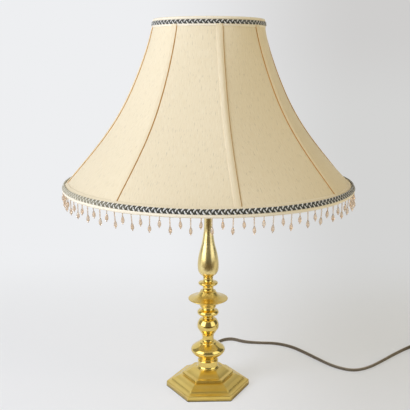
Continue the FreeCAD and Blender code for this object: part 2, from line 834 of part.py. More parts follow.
def binding(ring_radius, height, opening_side):
    """A cloth strip round a ring wire, open above (1) or below (-1) towards the cloth."""
    span = binding_to_degrees - binding_from_degrees

    def spots(radius):
        points = []
        for step in range(binding_facets + 1):
            degrees = binding_from_degrees + span * step / binding_facets
            angle = math.radians(degrees * opening_side)
            out = ring_radius + radius * math.cos(angle)
            points.append(V(out, 0, height + radius * math.sin(angle)))
        return points

    outer = spots(binding_radius)
    inner = spots(ring_wire_radius + binding_gap)
    return spun(closed_edges(outer + inner[::-1]))


def braid(low, high):
    """A plaited trim as a plain band with a rounded face, between two points of its back."""
    out = V(high.z - low.z, 0, low.x - high.x).normalize() * braid_thickness
    shoulder = out * braid_shoulder_share
    crown = (low + high) * 0.5 + out
    return spun([
        curve_through([low, low + shoulder]),
        Part.Arc(low + shoulder, crown, high + shoulder).toShape(),
        curve_through([high + shoulder, high]),
        curve_through([high, low]),
    ])


def over_folds(curve, height):
    """The radius just outside the seam folds at a height of the cloth."""
    share = (height - cloth_bottom) / (cloth_top - cloth_bottom)
    radius, _, _, widening = cloth_level(curve, share)
    return radius + (fold_lift + fold_thickness + cloth_gap) * widening


def make_bindings(curve):
    """The cloth strips round the two rings and the braids that cover their edges."""
    save("hem_binding", binding(bottom_ring_radius, bottom_ring_height, 1))
    save("top_binding", binding(top_ring_radius, top_ring_height, -1))
    half = braid_width / 2
    bottom_edge = over_folds(curve, cloth_bottom)
    bottom_high = V(over_folds(curve, bottom_braid_height + half), 0, bottom_braid_height + half)
    save("bottom_braid", braid(V(bottom_edge, 0, bottom_braid_height - half), bottom_high))
    top_edge = over_folds(curve, cloth_top)
    top_low = V(over_folds(curve, top_braid_height - half), 0, top_braid_height - half)
    save("top_braid", braid(top_low, V(top_edge, 0, top_braid_height + half)))


def seed_string(count, top):
    """Seed beads hung from the hem, touching one another."""
    shoulder = seed_pitch * seed_shoulder_share
    outline = [V(0, 0, top), V(seed_join_radius, 0, top)]
    for seed in range(count):
        seed_top = top - seed_pitch * seed
        seed_bottom = seed_top - seed_pitch
        outline.append(V(seed_radius, 0, seed_top - shoulder))
        outline.append(V(seed_radius, 0, seed_bottom + shoulder))
        outline.append(V(seed_join_radius, 0, seed_bottom))
    outline.append(V(0, 0, top - seed_pitch * count))
    return spun(closed_edges(outline))


def make_fringe():
    """Strands of seed beads that each end in a drop bead and a tiny bead."""
    sideways = strand_radius_place - seed_join_radius - bottom_ring_radius
    top = bottom_ring_height - math.sqrt(binding_radius ** 2 - sideways ** 2) - binding_gap
    kinds = []
    for count in (long_seed_count, short_seed_count):
        drop_top = top - seed_pitch * count
        drop = turned(drop_shares, drop_radius, drop_top - drop_length, drop_length)
        end_top = drop_top - drop_length
        end = Part.makeSphere(end_bead_radius, V(0, 0, end_top - end_bead_radius))
        kinds.append((seed_string(count, top), drop, end))
    groups = ([], [], [])
    for strand in range(strand_count):
        turn = strand_turn_degrees + 360 / strand_count * strand
        for group, piece in zip(groups, kinds[strand % 2]):
            moved = piece.translated(V(strand_radius_place, 0, 0))
            group.append(moved.rotated(V(0, 0, 0), UP, turn))
    save("fringe_seed_beads", *groups[0])
    save("fringe_drop_beads", *groups[1])
    save("fringe_end_beads", *groups[2])


def make_cord_entry():
    """The bush in the foot's back wall, and the flex from it up to the lampholder."""
    wall = foot_corner_radius * math.cos(math.radians(30)) + seat_clearance
    back = V(0, 1, 0)
    inner_start = V(0, bush_flange_reach, bush_axis_height)
    wall_start = V(0, wall, bush_axis_height)
    flange = Part.makeCylinder(bush_flange_radius, bush_flange_length, inner_start, back)
    sleeve = Part.makeCylinder(bush_sleeve_radius, wall - bush_flange_reach, inner_start, back)
    cone = Part.makeCone(bush_cone_radius, bush_tip_radius, bush_length, wall_start, back)
    bush_bore = cord_radius + seat_clearance
    reach = wall + bush_length - bush_flange_reach
    bush = flange.fuse([sleeve, cone]).removeSplitter()
    bush = bush.cut(Part.makeCylinder(bush_bore, reach, inner_start, back))
    save("cord_bush", bush)

    exit_point = V(0, wall + bush_length, bush_axis_height)
    bend_start = V(0, inner_bend_radius, bush_axis_height)
    bend_end = V(0, 0, bush_axis_height + inner_bend_radius)
    flex_top = V(0, 0, insert_bottom - terminal_head_height - core_bend_radius - core_radius)
    save("inner_flex", tube_along([
        curve_through([exit_point, bend_start]),
        arc_from(bend_start, V(0, -1, 0), bend_end),
        curve_through([bend_end, flex_top]),
    ], cord_radius))
    cores = []
    for side in (-1, 1):
        start = flex_top + V(0, side * cord_radius / 2, 0)
        top_z = insert_bottom - terminal_head_height / 2
        bend = V(0, start.y, top_z - core_bend_radius)
        over = V(0, start.y + side * core_bend_radius, top_z)
        end = V(0, side * (terminal_place - terminal_head_radius), top_z)
        cores.append(tube_along([
            curve_through([start, bend]),
            arc_from(bend, UP, over),
            curve_through([over, end]),
        ], core_radius))
    save("core_wires", *cores)
    return exit_point


def coil_spot(turn):
    """The coil's centreline after some turns, clockwise from where the cord comes in."""
    half = coil_turns / 2
    inwards = min(turn, coil_turns - turn)
    radius = coil_mean_radius + coil_pitch * (half / 2 - inwards)
    climb = max(0.0, min(1.0, (turn - half) * 2 + 0.5))
    layer = climb * climb * (3 - climb - climb)
    angle = math.radians(coil_start_degrees - 360 * turn)
    height = cord_radius + coil_lift + coil_pitch * layer
    return coil_centre + V(radius * math.cos(angle), radius * math.sin(angle), height)


def coil_heading(turn):
    """The direction of the coil's centreline."""
    ahead = coil_spot(min(coil_turns, turn + coil_turn_step))
    behind = coil_spot(max(0.0, turn - coil_turn_step))
    return (ahead - behind).normalize()


def make_cord(exit_point):
    """The free cord on the table, its coil with a tie, and the plug beside it."""
    start = coil_spot(0)
    lead_in = start - coil_heading(0) * (cord_route[-1] - start).Length * lead_in_share
    lead_in.z = cord_route[-1].z
    route = [exit_point] + cord_route + [lead_in, start]
    run = rounded_route(route, "cord run")
    run_solid = tube_along(run, cord_radius)
    save("cord_run", run_solid)
    run_length = sum(edge.Length for edge in run)

    arc_pairs = round(coil_turns * coil_arcs_per_turn)
    spots = [coil_turns * k / arc_pairs for k in range(arc_pairs + 1)]
    first_heading = (start - lead_in).normalize()
    headings = [first_heading] + [coil_heading(turn) for turn in spots[1:]]
    coil = []
    for k in range(arc_pairs):
        coil += biarc(coil_spot(spots[k]), headings[k], coil_spot(spots[k + 1]), headings[k + 1])
    coil_solid = tube_along(coil, cord_radius)
    save("cord_coil", coil_solid)
    coil_length = sum(edge.Length for edge in coil)
    print("coil arc radii in mm:", round(min(edge.Curve.Radius for edge in coil), 1))
    report_least_gap(coil)

    end = coil_spot(coil_turns)
    heading = headings[-1]
    plug_z = plug_thickness / 2
    first = end + heading * tail_run
    level = V(heading.x, heading.y, 0).normalize()
    second = first + level * tail_run
    second.z = plug_z
    third = second + level * tail_run
    tail = rounded_route([end, first, second, third], "cord tail")
    save("cord_tail", tube_along(tail, cord_radius))
    tail_length = sum(edge.Length for edge in tail)
    section = math.pi * cord_radius ** 2
    print("cord length in mm:", round(run_length + coil_length + tail_length, 1))
    print("run volume against section times length:",
          round(run_solid.Volume / (section * run_length), 4))
    print("coil volume against section times length:",
          round(coil_solid.Volume / (section * coil_length), 4))
    make_tie()
    make_plug(third, level)


def report_least_gap(edges):
    """Print the least gap between turns of the coil, measured on points."""
    points = []
    travelled = 0.0
    for edge in edges:
        for k in range(gap_points_per_arc):
            share = k / gap_points_per_arc
            span = edge.LastParameter - edge.FirstParameter
            points.append((travelled + edge.Length * share,
                           edge.valueAt(edge.FirstParameter + span * share)))
        travelled += edge.Length
    apart = coil_mean_radius
    least = min(
        (q - p).Length
        for i, (at, p) in enumerate(points)
        for on, q in points[i + 1:]
        if on - at > apart
    )
    print("least gap in the coil in mm:", round(least - cord_radius - cord_radius, 2))


def make_tie():
    """A flat strap round the bundle of turns."""
    half_band = coil_pitch * coil_turns / 4
    inner_low = coil_mean_radius - half_band - cord_radius - tie_slack
    inner_high = coil_mean_radius + half_band + cord_radius + tie_slack
    bottom = coil_lift - tie_thickness
    inner_top = coil_lift + coil_pitch + cord_radius + cord_radius + tie_slack
    outer = Part.makeBox(
        inner_high - inner_low + tie_thickness + tie_thickness,
        tie_width,
        inner_top + tie_thickness - bottom,
        V(inner_low - tie_thickness, -tie_width / 2, bottom),
    )
    hole = Part.makeBox(
        inner_high - inner_low,
        tie_width,
        inner_top - bottom - tie_thickness,
        V(inner_low, -tie_width / 2, bottom + tie_thickness),
    )
    strap = outer.cut(hole).rotated(V(0, 0, 0), UP, tie_turn_degrees)
    save("coil_tie", strap.translated(coil_centre))


def plug_block(place, heading):
    """The plug's flat body through rounded rectangles along a level heading."""
    across = UP.cross(heading)
    sections = []
    for length_share, width_share, thickness_share in plug_outline_shares:
        half_w = plug_width * width_share / 2
        half_t = plug_thickness * thickness_share / 2
        corner = half_t * plug_corner_share
        middle = place + heading * (plug_length * length_share)

        def spot(side, rise):
            return middle + across * side + UP * rise

        diagonal = corner * (1 - math.sqrt(0.5))
        edges = []
        for a, b in ((1, 1), (-1, 1), (-1, -1), (1, -1)):
            side_spot = spot(a * half_w, b * (half_t - corner))
            flat_spot = spot(a * (half_w - corner), b * half_t)
            arc_spot = spot(a * (half_w - diagonal), b * (half_t - diagonal))
            order = [side_spot, arc_spot, flat_spot]
            if a * b < 0:
                order.reverse()
            edges.append(Part.Arc(*order).toShape())
        joined = []
        for k, edge in enumerate(edges):
            following = edges[(k + 1) % 4]
            joined.append(edge)
            joined.append(curve_through([
                edge.valueAt(edge.LastParameter),
                following.valueAt(following.FirstParameter),
            ]))
        sections.append(Part.Wire(joined))
    return Part.makeLoft(sections, True, True)


def make_plug(cord_end, heading):
    """A flat two-pin plug with its boot, lying on the table beside the coil."""
    boot = Part.makeCone(plug_boot_tip_radius, plug_boot_radius, plug_boot_length,
                         cord_end, heading)
    body_start = cord_end + heading * plug_boot_length
    body = plug_block(body_start, heading)
    save("plug_body", body.fuse(boot).removeSplitter())
    across = UP.cross(heading)
    pins = []
    for side in (-1, 1):
        base = body_start + heading * plug_length + across * (side * pin_spacing / 2)
        pin = Part.makeCylinder(pin_radius, pin_length, base, heading)
        far = [edge for edge in pin.Edges if edge.Closed
               and (edge.CenterOfMass - base).Length > pin_length / 2]
        pins.append(pin.makeChamfer(pin_tip_chamfer, far))
    save("plug_pins", *pins)


make_foot()
make_stem()
bulb_thread_bottom = make_holder()
make_bulb(bulb_thread_bottom)
make_shade()
make_fringe()
cord_exit = make_cord_entry()
make_cord(cord_exit)
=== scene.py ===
import math
import bmesh
import bpy
import numpy as np
from mathutils import Matrix, Vector


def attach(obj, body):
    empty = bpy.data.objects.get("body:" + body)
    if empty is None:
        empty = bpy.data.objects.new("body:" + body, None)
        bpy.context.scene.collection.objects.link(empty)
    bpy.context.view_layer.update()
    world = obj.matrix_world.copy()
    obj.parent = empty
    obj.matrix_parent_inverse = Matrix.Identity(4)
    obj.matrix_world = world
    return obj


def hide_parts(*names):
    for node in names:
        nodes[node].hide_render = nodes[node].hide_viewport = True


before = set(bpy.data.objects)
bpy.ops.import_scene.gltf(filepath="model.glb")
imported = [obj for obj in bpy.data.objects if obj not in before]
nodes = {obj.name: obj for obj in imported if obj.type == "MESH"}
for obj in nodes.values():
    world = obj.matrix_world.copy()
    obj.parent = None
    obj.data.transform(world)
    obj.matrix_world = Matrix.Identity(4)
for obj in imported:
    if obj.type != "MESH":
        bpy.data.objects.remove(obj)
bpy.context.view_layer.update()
scene = bpy.context.scene
MM = 0.001
FULL_TURN = 2 * math.pi


def shown(name, data):
    """An object with this data, in the scene."""
    made = bpy.data.objects.new(name, data)
    scene.collection.objects.link(made)
    return made


# Camera

CAMERA_LENS = 61.5
CAMERA_AWAY = 0.98507
CAMERA_HEIGHT = 0.48147
CAMERA_ROUND = 0.0456
CAMERA_PITCH = 0.2033
CAMERA_YAW = -0.0049
CAMERA_ROLL = 0.0019

camera_data = bpy.data.cameras.new("camera")
camera_data.lens = CAMERA_LENS
camera_data.sensor_width = 36.0
camera_data.clip_start = 0.05
camera_data.clip_end = 30.0
camera = shown("camera", camera_data)
camera.matrix_world = (
    Matrix.Translation((
        -CAMERA_AWAY * math.sin(CAMERA_ROUND),
        -CAMERA_AWAY * math.cos(CAMERA_ROUND),
        CAMERA_HEIGHT,
    ))
    @ Matrix.Rotation(-CAMERA_ROUND - CAMERA_YAW, 4, "Z")
    @ Matrix.Rotation(math.pi / 2 - CAMERA_PITCH, 4, "X")
    @ Matrix.Rotation(CAMERA_ROLL, 4, "Z")
)
scene.camera = camera


# Node trees

def sign(operation, turned=False):
    """What a sign between a value and a value or number does: it adds a node."""
    def work_out(self, other):
        return self.work(operation, *((other, self) if turned else (self, other)))
    return work_out


class Value:
    """One output of a node. Sums written with it add the nodes that work them out."""

    def __init__(self, tree, socket):
        self.tree = tree
        self.socket = socket

    def work(self, operation, first, second=0.0):
        return self.tree.node("ShaderNodeMath", {0: first, 1: second}, operation=operation)

    __add__, __radd__ = sign("ADD"), sign("ADD", True)
    __sub__, __rsub__ = sign("SUBTRACT"), sign("SUBTRACT", True)
    __mul__, __rmul__ = sign("MULTIPLY"), sign("MULTIPLY", True)
    __truediv__, __rtruediv__ = sign("DIVIDE"), sign("DIVIDE", True)
    most = sign("MAXIMUM")
    left_over = sign("MODULO")

    def sine(self):
        return self.work("SINE", self)

    def cosine(self):
        return self.work("COSINE", self)


class Tree:
    """A node tree that is written one node at a time."""

    def __init__(self, node_tree):
        self.node_tree = node_tree

    def node(self, kind, sockets=None, out=0, **settings):
        """A node: its settings first, then its sockets' values or links. Gives one output."""
        made = self.node_tree.nodes.new(kind)
        for name, value in settings.items():
            setattr(made, name, value)
        for name, value in (sockets or {}).items():
            self.feed(made.inputs[name], value)
        return Value(self, made.outputs[out])

    def feed(self, socket, value):
        """Link a socket to a value of the tree, or set it."""
        if isinstance(value, Value):
            self.node_tree.links.new(value.socket, socket)
        else:
            socket.default_value = value

    def gather(self, kind, values):
        """A node whose first socket takes many values."""
        made = self.node(kind)
        for value in values:
            self.node_tree.links.new(value.socket, made.socket.node.inputs[0])
        return made

    def axis(self, vector, letter):
        """One of the three numbers of a vector."""
        return self.node("ShaderNodeSeparateXYZ", {0: vector}, out=letter)

    def between(self, value, low, high):
        """A smooth step from 0 to 1 as a value goes from low to high."""
        return self.node("ShaderNodeMapRange", {
            "Value": value, "From Min": low, "From Max": high}, interpolation_type="SMOOTHSTEP")


def rgb(red, green, blue):
    """A colour written as it looks, 0 to 255, as the linear light that a shader takes."""
    linear = []
    for level in (red, green, blue):
        share = level / 255
        linear.append(share / 12.92 if share <= 0.04045 else ((share + 0.055) / 1.055) ** 2.4)
    return (*linear, 1.0)


class Finish(Tree):
    """A material with one main shader."""

    def __init__(self, name, **plain):
        self.material = bpy.data.materials.new(name)
        self.material.use_nodes = True
        super().__init__(self.material.node_tree)
        self.shader = self.node_tree.nodes["Principled BSDF"]
        self.set(**plain)

    def set(self, **values):
        """Set or link the main shader's sockets, named with _ for a space."""
        for name, value in values.items():
            self.feed(self.shader.inputs[name.replace("_", " ")], value)

    def own_spot(self):
        """The piece's own coordinates in metres."""
        return self.node("ShaderNodeTexCoord", out="Object")

    def cloth_spot(self):
        """Metres across and along the surface."""
        return self.node("ShaderNodeUVMap", uv_map="surface")

    def noise(self, grain, detail, rough):
        """Soft clouds, so many grains a metre: two numbers across and along the surface, or three
        through the piece."""
        spot = self.cloth_spot() if len(grain) == 2 else self.own_spot()
        place = self.node("ShaderNodeMapping", {"Vector": spot, "Scale": (*grain, 1.0)[:3]})
        return self.node("ShaderNodeTexNoise", {
            "Vector": place, "Scale": 1.0, "Detail": detail, "Roughness": rough})

    def mix(self, share, first, second):
        """A mix of two colours. The node's colours are its sockets 6 and 7, and its output 2."""
        return self.node("ShaderNodeMix", {0: share, 6: first, 7: second}, 2, data_type="RGBA")

    def made(self, tone, height, depth, strength, **more):
        """The finished material: its colour, and a fine relief as deep as depth in metres."""
        relief = self.node("ShaderNodeBump", {
            "Height": height, "Distance": depth, "Strength": strength})
        self.set(Base_Color=tone, Normal=relief, **more)
        return self.material


# Finishes

WEAVE = (1700.0, 90.0)
SLUB = (760.0, 120.0)
CROSS_THREADS = (150.0, 2600.0)
CLOTH_CLOUD = (14.0, 8.0)
PANEL_CREAM = rgb(240, 226, 194)


def woven(name, middle, deep, sheen=0.25):
    """Cloth with its grain down each panel: the finish, its tone and its grain."""
    cloth = Finish(name, Roughness=0.78, Sheen_Weight=sheen, Sheen_Roughness=0.5,
                   Specular_IOR_Level=0.25)
    grain = cloth.noise(WEAVE, 4.0, 0.6)
    return cloth, cloth.mix(cloth.between(grain, 0.3, 0.7), middle, deep), grain


def slubbed_cloth(name, middle, deep, sheen=0.25):
    """Cream cloth with darker and lighter slubs."""
    cloth, tone, grain = woven(name, middle, deep, sheen)
    slub = cloth.noise(SLUB, 2.0, 0.5)
    cloud = cloth.noise(CLOTH_CLOUD, 2.0, 0.5)
    across = cloth.noise(CROSS_THREADS, 1.0, 0.5)
    darker = [level * 0.62 for level in deep[:3]] + [1.0]
    lighter = [min(1.0, level * 1.12) for level in middle[:3]] + [1.0]
    tone = cloth.mix(cloth.between(slub, 0.60, 0.72) * 0.5, tone, darker)
    tone = cloth.mix(cloth.between(slub, 0.36, 0.28) * 0.35, tone, lighter)
    tone = cloth.mix(cloud * 0.16, tone, deep)
    return cloth.made(tone, grain * 0.6 + slub * 0.7 + across * 0.3, 0.00022, 0.55)


# Painted shadow: the brown lines along the seam bands' edges stand for the shade where a band's
# edge meets its panel.
SEAM_SHADOW_BROWN = rgb(190, 140, 68)
SEAM_SHADOW_SPAN = (0.0039, 0.0043)
FAINT_SHADOW_SPAN = (0.0046, 0.0049)


def seam_cloth_finish():
    """Cloth of the seam bands: a painted brown shadow line near one edge and a fainter painted
    shadow at the other.
    """
    cloth, tone, grain = woven("seam_cloth", PANEL_CREAM, rgb(231, 213, 175))
    across = cloth.axis(cloth.cloth_spot(), "X")
    waver = cloth.noise((0.0, 60.0), 2.0, 0.5)
    # painted shadow lines along both edges of the band
    edge = cloth.between(across + waver * 0.0004, *SEAM_SHADOW_SPAN)
    back = cloth.between(across * -1.0 + waver * 0.0003, *FAINT_SHADOW_SPAN) * 0.3
    tone = cloth.mix(edge.most(back), tone, SEAM_SHADOW_BROWN)
    return cloth.made(tone, grain, 0.00018, 0.5)


BRASS = (0.93, 0.71, 0.20, 1.0)
BRASS_DEEP = (0.84, 0.58, 0.085, 1.0)
# Painted highlight: the vase has a paler, brighter copy of the brass colour, so that its mirrored
# highlights come out brighter.
VASE_BRASS_LIT = (1.0, 0.83, 0.38, 1.0)
VASE_BRASS_LIT_DEEP = (0.94, 0.72, 0.24, 1.0)
FINE_TURNING = (60.0, 60.0, 5200.0)
SATIN_TURNING = (70.0, 70.0, 6200.0)
BRUSHING = (22.0, 3200.0)
COARSE_BRUSHING = (9.0, 900.0)


def brass(name, base, deep, turning, line_depth, roughness, tarnish):
    """Turned brass with fine tool lines, slight tarnish and small marks."""
    metal = Finish(name, Metallic=1.0, IOR=1.45, Coat_Weight=0.8, Coat_Roughness=roughness * 0.7)
    lines = metal.noise(turning, 4.0, 0.65)
    cloud = metal.noise((38.0, 38.0, 30.0), 4.0, 0.6)
    marks = metal.noise((420.0, 420.0, 420.0), 2.0, 0.5)
    tone = metal.mix(metal.between(cloud, 0.3, 0.75) * tarnish, base, deep)
    tone = metal.mix(metal.between(marks, 0.62, 0.8) * 0.3, tone, deep)
    return metal.made(tone, lines, line_depth, 0.6,
                      Roughness=roughness + lines * 0.10 + cloud * 0.06)


def brushed_brass():
    """The foot's brass, brushed along each flat side."""
    metal = Finish("brushed_brass", Metallic=1.0, Coat_Weight=0.6, Coat_Roughness=0.2)
    lines = metal.noise(BRUSHING, 5.0, 0.7)
    coarse = metal.noise(COARSE_BRUSHING, 3.0, 0.6)
    cloud = metal.noise((30.0, 30.0, 30.0), 4.0, 0.6)
    tone = metal.mix(metal.between(cloud, 0.3, 0.75) * 0.5, BRASS, BRASS_DEEP)
    tone = metal.mix(metal.between(coarse, 0.35, 0.75) * 0.35, tone, BRASS_DEEP)
    return metal.made(tone, lines + coarse * 0.7, 0.00005, 0.6,
                      Roughness=0.26 + lines * 0.14 + cloud * 0.06)


# Painted sheen: over this span of x the yarn turns paler towards the left, where the key light
# falls.
YARN_SHEEN_SPAN = (-0.07, -0.19)
PAINTED_SHEEN_YARN = rgb(226, 214, 176)


def yarn(name, light, dark, **shine):
    """Fuzzy braid yarn, paler towards the hem's left side: a painted sheen where the key light
    falls.
    """
    thread = Finish(name, Sheen_Weight=0.3, **shine)
    fuzz = thread.noise((1500.0, 1500.0, 1500.0), 3.0, 0.6)
    tone = thread.mix(0.35 + fuzz * 0.3, dark, light)
    # painted sheen on the hem's left side
    painted_sheen = thread.between(thread.axis(thread.own_spot(), "X"), *YARN_SHEEN_SPAN)
    tone = thread.mix(painted_sheen * 0.42, tone, PAINTED_SHEEN_YARN)
    return thread.made(tone, fuzz * 0.4, 0.00012, 0.7)


def glass_beads():
    """Clear amber glass, a little cloudy."""
    beads = Finish("amber_glass", Roughness=0.08, IOR=1.42, Transmission_Weight=0.8)
    cloud = beads.noise((90.0, 90.0, 140.0), 2.0, 0.5)
    tone = beads.mix(beads.between(cloud, 0.3, 0.7), rgb(255, 240, 222), rgb(252, 224, 194))
    return beads.made(tone, cloud, 0.0002, 0.3)


def flex_finish():
    """Brown twin flex, paler along two thin lines down its length."""
    brown, worn_brown, pale_line_tan = rgb(106, 96, 81), rgb(122, 111, 95), rgb(186, 176, 158)
    flex = Finish("brown_flex", Roughness=0.45, Specular_IOR_Level=0.4)
    across = flex.axis(flex.cloth_spot(), "X")
    pale_lines = flex.between((across * (2 * FULL_TURN)).cosine(), 0.72, 0.95)
    scuff = flex.noise((260.0, 260.0, 260.0), 4.0, 0.6)
    tone = flex.mix(flex.between(scuff, 0.3, 0.7), brown, worn_brown)
    tone = flex.mix(pale_lines * 0.7, tone, pale_line_tan)
    return flex.made(tone, scuff, 0.0001, 0.4)


def plain_finish(name, light, dark, roughness, grain, depth, more):
    """A simple finish with a fine grain in its colour and its surface."""
    finish = Finish(name, **more)
    speck = finish.noise((grain, grain, grain), 4.0, 0.6)
    tone = finish.mix(finish.between(speck, 0.3, 0.7), light, dark)
    return finish.made(tone, speck, depth, 0.5, Roughness=roughness + speck * 0.12)


polished_brass = brass("polished_brass", BRASS, BRASS_DEEP, FINE_TURNING, line_depth=0.00001,
                       roughness=0.07, tarnish=0.4)
satin_brass = brass("satin_brass", BRASS, BRASS_DEEP, SATIN_TURNING, line_depth=0.00003,
                    roughness=0.22, tarnish=0.5)
# painted highlight: the vase's brighter copy of the brass
lit_vase_brass = brass("lit_vase_brass", VASE_BRASS_LIT, VASE_BRASS_LIT_DEEP, SATIN_TURNING, line_depth=0.00003,
                   roughness=0.2, tarnish=0.5)
foot_brass = brushed_brass()
panel_cream = slubbed_cloth("cream_cloth", PANEL_CREAM, rgb(232, 215, 178))
hem_cream = slubbed_cloth("hem_cream", rgb(250, 240, 216), rgb(243, 230, 202))
lining_cream = slubbed_cloth("lining_cream", rgb(244, 236, 216), rgb(238, 227, 203), 0.15)
seam_cloth = seam_cloth_finish()
dark_yarn = yarn("dark_yarn", rgb(72, 72, 60), rgb(26, 26, 20), Roughness=0.5)
silver_yarn = yarn("silver_yarn", rgb(252, 251, 246), rgb(212, 210, 200),
                   Roughness=0.4, Metallic=0.2)
bead_glass = glass_beads()
flex_brown = flex_finish()

METAL = {"Metallic": 1.0}
PLAIN_FINISHES = [
    # name, light, dark, roughness, grains a metre, their depth, what else the shader takes
    ("felt", rgb(36, 28, 20), rgb(18, 14, 10), 0.85, 2600.0, 0.0004, {"Sheen_Weight": 0.5}),
    ("plated_steel", (0.62, 0.62, 0.60, 1), (0.48, 0.48, 0.46, 1), 0.22, 700.0, 0.00003, METAL),
    ("brown_rubber", rgb(70, 60, 52), rgb(54, 46, 40), 0.5, 900.0, 0.0001, {}),
    ("holder_insulator", rgb(232, 226, 212), rgb(214, 207, 190), 0.35, 500.0, 0.00005, {}),
    ("bulb_cap_metal", (0.72, 0.72, 0.70, 1), (0.55, 0.55, 0.52, 1), 0.25, 900.0, 0.00003, METAL),
    ("bulb_insulator_glass", rgb(30, 28, 32), rgb(18, 16, 20), 0.15, 400.0, 0.00002, {}),
    ("tungsten", (0.35, 0.34, 0.33, 1), (0.25, 0.24, 0.23, 1), 0.4, 2000.0, 0.00002, METAL),
    ("core_insulation", rgb(120, 84, 50), rgb(96, 66, 40), 0.45, 800.0, 0.00005, {}),
    ("pin_brass", (0.82, 0.66, 0.34, 1), (0.68, 0.52, 0.24, 1), 0.2, 1500.0, 0.00003, METAL),
    ("pearl_glass", rgb(246, 244, 238), rgb(236, 233, 226), 0.3, 260.0, 0.00002,
     {"Transmission_Weight": 0.08, "Subsurface_Weight": 0.2}),
    ("clear_glass", rgb(244, 246, 246), rgb(232, 236, 236), 0.05, 120.0, 0.00001,
     {"Transmission_Weight": 0.9}),
]
plain = {row[0]: plain_finish(*row) for row in PLAIN_FINISHES}


# Mesh making

def mesh_piece(name, points, faces, material, uvs=None, closed=True):
    """A smooth piece from points and faces in metres; uvs is one pair for each face corner."""
    mesh = bpy.data.meshes.new(name)
    mesh.from_pydata([tuple(p) for p in points], [], faces)
    mesh.materials.append(material)
    if uvs is not None:
        layer = mesh.uv_layers.new(name="surface")
        layer.data.foreach_set("uv", np.asarray(uvs, np.float32).ravel())
    mesh.polygons.foreach_set("use_smooth", [True] * len(mesh.polygons))
    mesh.validate()
    mesh.update()
    piece = shown(name, mesh)
    if closed:
        face_outwards(piece)
    return piece


def face_outwards(piece):
    """Turn a closed piece's faces outwards."""
    work = bmesh.new()
    work.from_mesh(piece.data)
    bmesh.ops.recalc_face_normals(work, faces=work.faces)
    if work.calc_volume(signed=True) < 0:
        bmesh.ops.reverse_faces(work, faces=work.faces)
    work.to_mesh(piece.data)
    work.free()
    piece.data.update()


def fitted(piece, body, slot, *replaced):
    """Fix a piece to its body, in place of the source's pieces that it stands for."""
    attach(piece, body)
    if replaced:
        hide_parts(*replaced)
    return piece


def grid(rows, columns, close_rows=False, close_columns=False, first=0, turned=False):
    """Faces of a grid of points numbered row by row, and the row and column of each corner.

    Past a closed edge the row or column counts on, so that a pattern can run on too.
    """
    faces = []
    corners = []
    for i in range(rows if close_rows else rows - 1):
        for j in range(columns if close_columns else columns - 1):
            spots = [(i, j), (i, j + 1), (i + 1, j + 1), (i + 1, j)]
            if turned:
                spots.reverse()
            faces.append([first + a % rows * columns + b % columns for a, b in spots])
            corners += spots
    return faces, corners


def ring_caps(rows, columns):
    """The two faces that close a stack of rings, below and above."""
    top = (rows - 1) * columns
    return [list(reversed(range(columns))), list(range(top, top + columns))]


def spline(points, parameters, where):
    """Places and slopes along a smooth curve through three points or more.

    It leaves and arrives as the cubic through its first or last four points.
    """
    t = np.asarray(parameters, float)
    y = np.asarray(points, float)
    count = len(t)
    use = min(4, count)

    def end_slope(ts, ys, at):
        powers = np.vander(ts - at, use, increasing=True)
        return np.linalg.solve(powers, ys)[1]

    matrix = np.zeros((count, count))
    right = np.zeros_like(y)
    matrix[0, 0] = matrix[-1, -1] = 1.0
    right[0] = end_slope(t[:use], y[:use], t[0])
    right[-1] = end_slope(t[-use:], y[-use:], t[-1])
    for i in range(1, count - 1):
        before, after = t[i] - t[i - 1], t[i + 1] - t[i]
        matrix[i, i - 1:i + 2] = after, 2 * (before + after), before
        right[i] = 3 * (after * (y[i] - y[i - 1]) / before + before * (y[i + 1] - y[i]) / after)
    slopes = np.linalg.solve(matrix, right)
    k = np.clip(np.searchsorted(t, where) - 1, 0, count - 2)
    span = (t[k + 1] - t[k])[:, None]
    s = ((where - t[k]) / span[:, 0])[:, None]
    leave, arrive = span * slopes[k], span * slopes[k + 1]
    place = ((2 * s**3 - 3 * s**2 + 1) * y[k] + (s**3 - 2 * s**2 + s) * leave
             + (3 * s**2 - 2 * s**3) * y[k + 1] + (s**3 - s**2) * arrive)
    slope = ((6 * s**2 - 6 * s) * y[k] + (3 * s**2 - 4 * s + 1) * leave
             + (6 * s - 6 * s**2) * y[k + 1] + (3 * s**2 - 2 * s) * arrive) / span
    return place, slope


def way_along(points):
    """How far along a line each of its points lies."""
    return np.concatenate([[0.0], np.cumsum(np.linalg.norm(np.diff(points, axis=0), axis=1))])


OUTLINE_STEP = 1.1
STEM_ROUND = 0.35
SHARP_TURN = 0.22


def outline_of(runs, radius, bottom, height):
    """Radius and height points of a turned outline. Each run starts where the last one ended."""
    points = []
    start = []
    for run in runs:
        spots = np.array([(radius * r, bottom + height * h) for r, h in start + run])
        start = run[-1:]
        if len(spots) > 2:
            reach = way_along(spots)
            count = max(4, int(reach[-1] / OUTLINE_STEP) + 2)
            spots, _ = spline(spots, reach, np.linspace(0, reach[-1], count))
        points += list(spots if not points else spots[1:])
    return soften(points, STEM_ROUND)


def soften(points, size):
    """Round an outline's sharp corners by size, and hold the straight lengths beside them."""
    made = [points[0]]
    for before, corner, after in zip(points, points[1:], points[2:]):
        a, b, c = (np.array(p, float) for p in (before, corner, after))
        ins, outs = b - a, c - b
        long_in, long_out = np.hypot(*ins), np.hypot(*outs)
        turn = abs(math.atan2(ins[0] * outs[1] - ins[1] * outs[0], ins @ outs))
        if turn < SHARP_TURN:
            made.append(b)
            continue
        cut = min(size, long_in * 0.4, long_out * 0.4)
        start, end = b - ins / long_in * cut, b + outs / long_out * cut
        if long_in > cut * 3:
            made.append(b - ins / long_in * cut * 2)
        made += [start, (start + 2 * b + end) / 4, end]
        if long_out > cut * 3:
            made.append(b + outs / long_out * cut * 2)
    made.append(points[-1])
    return made


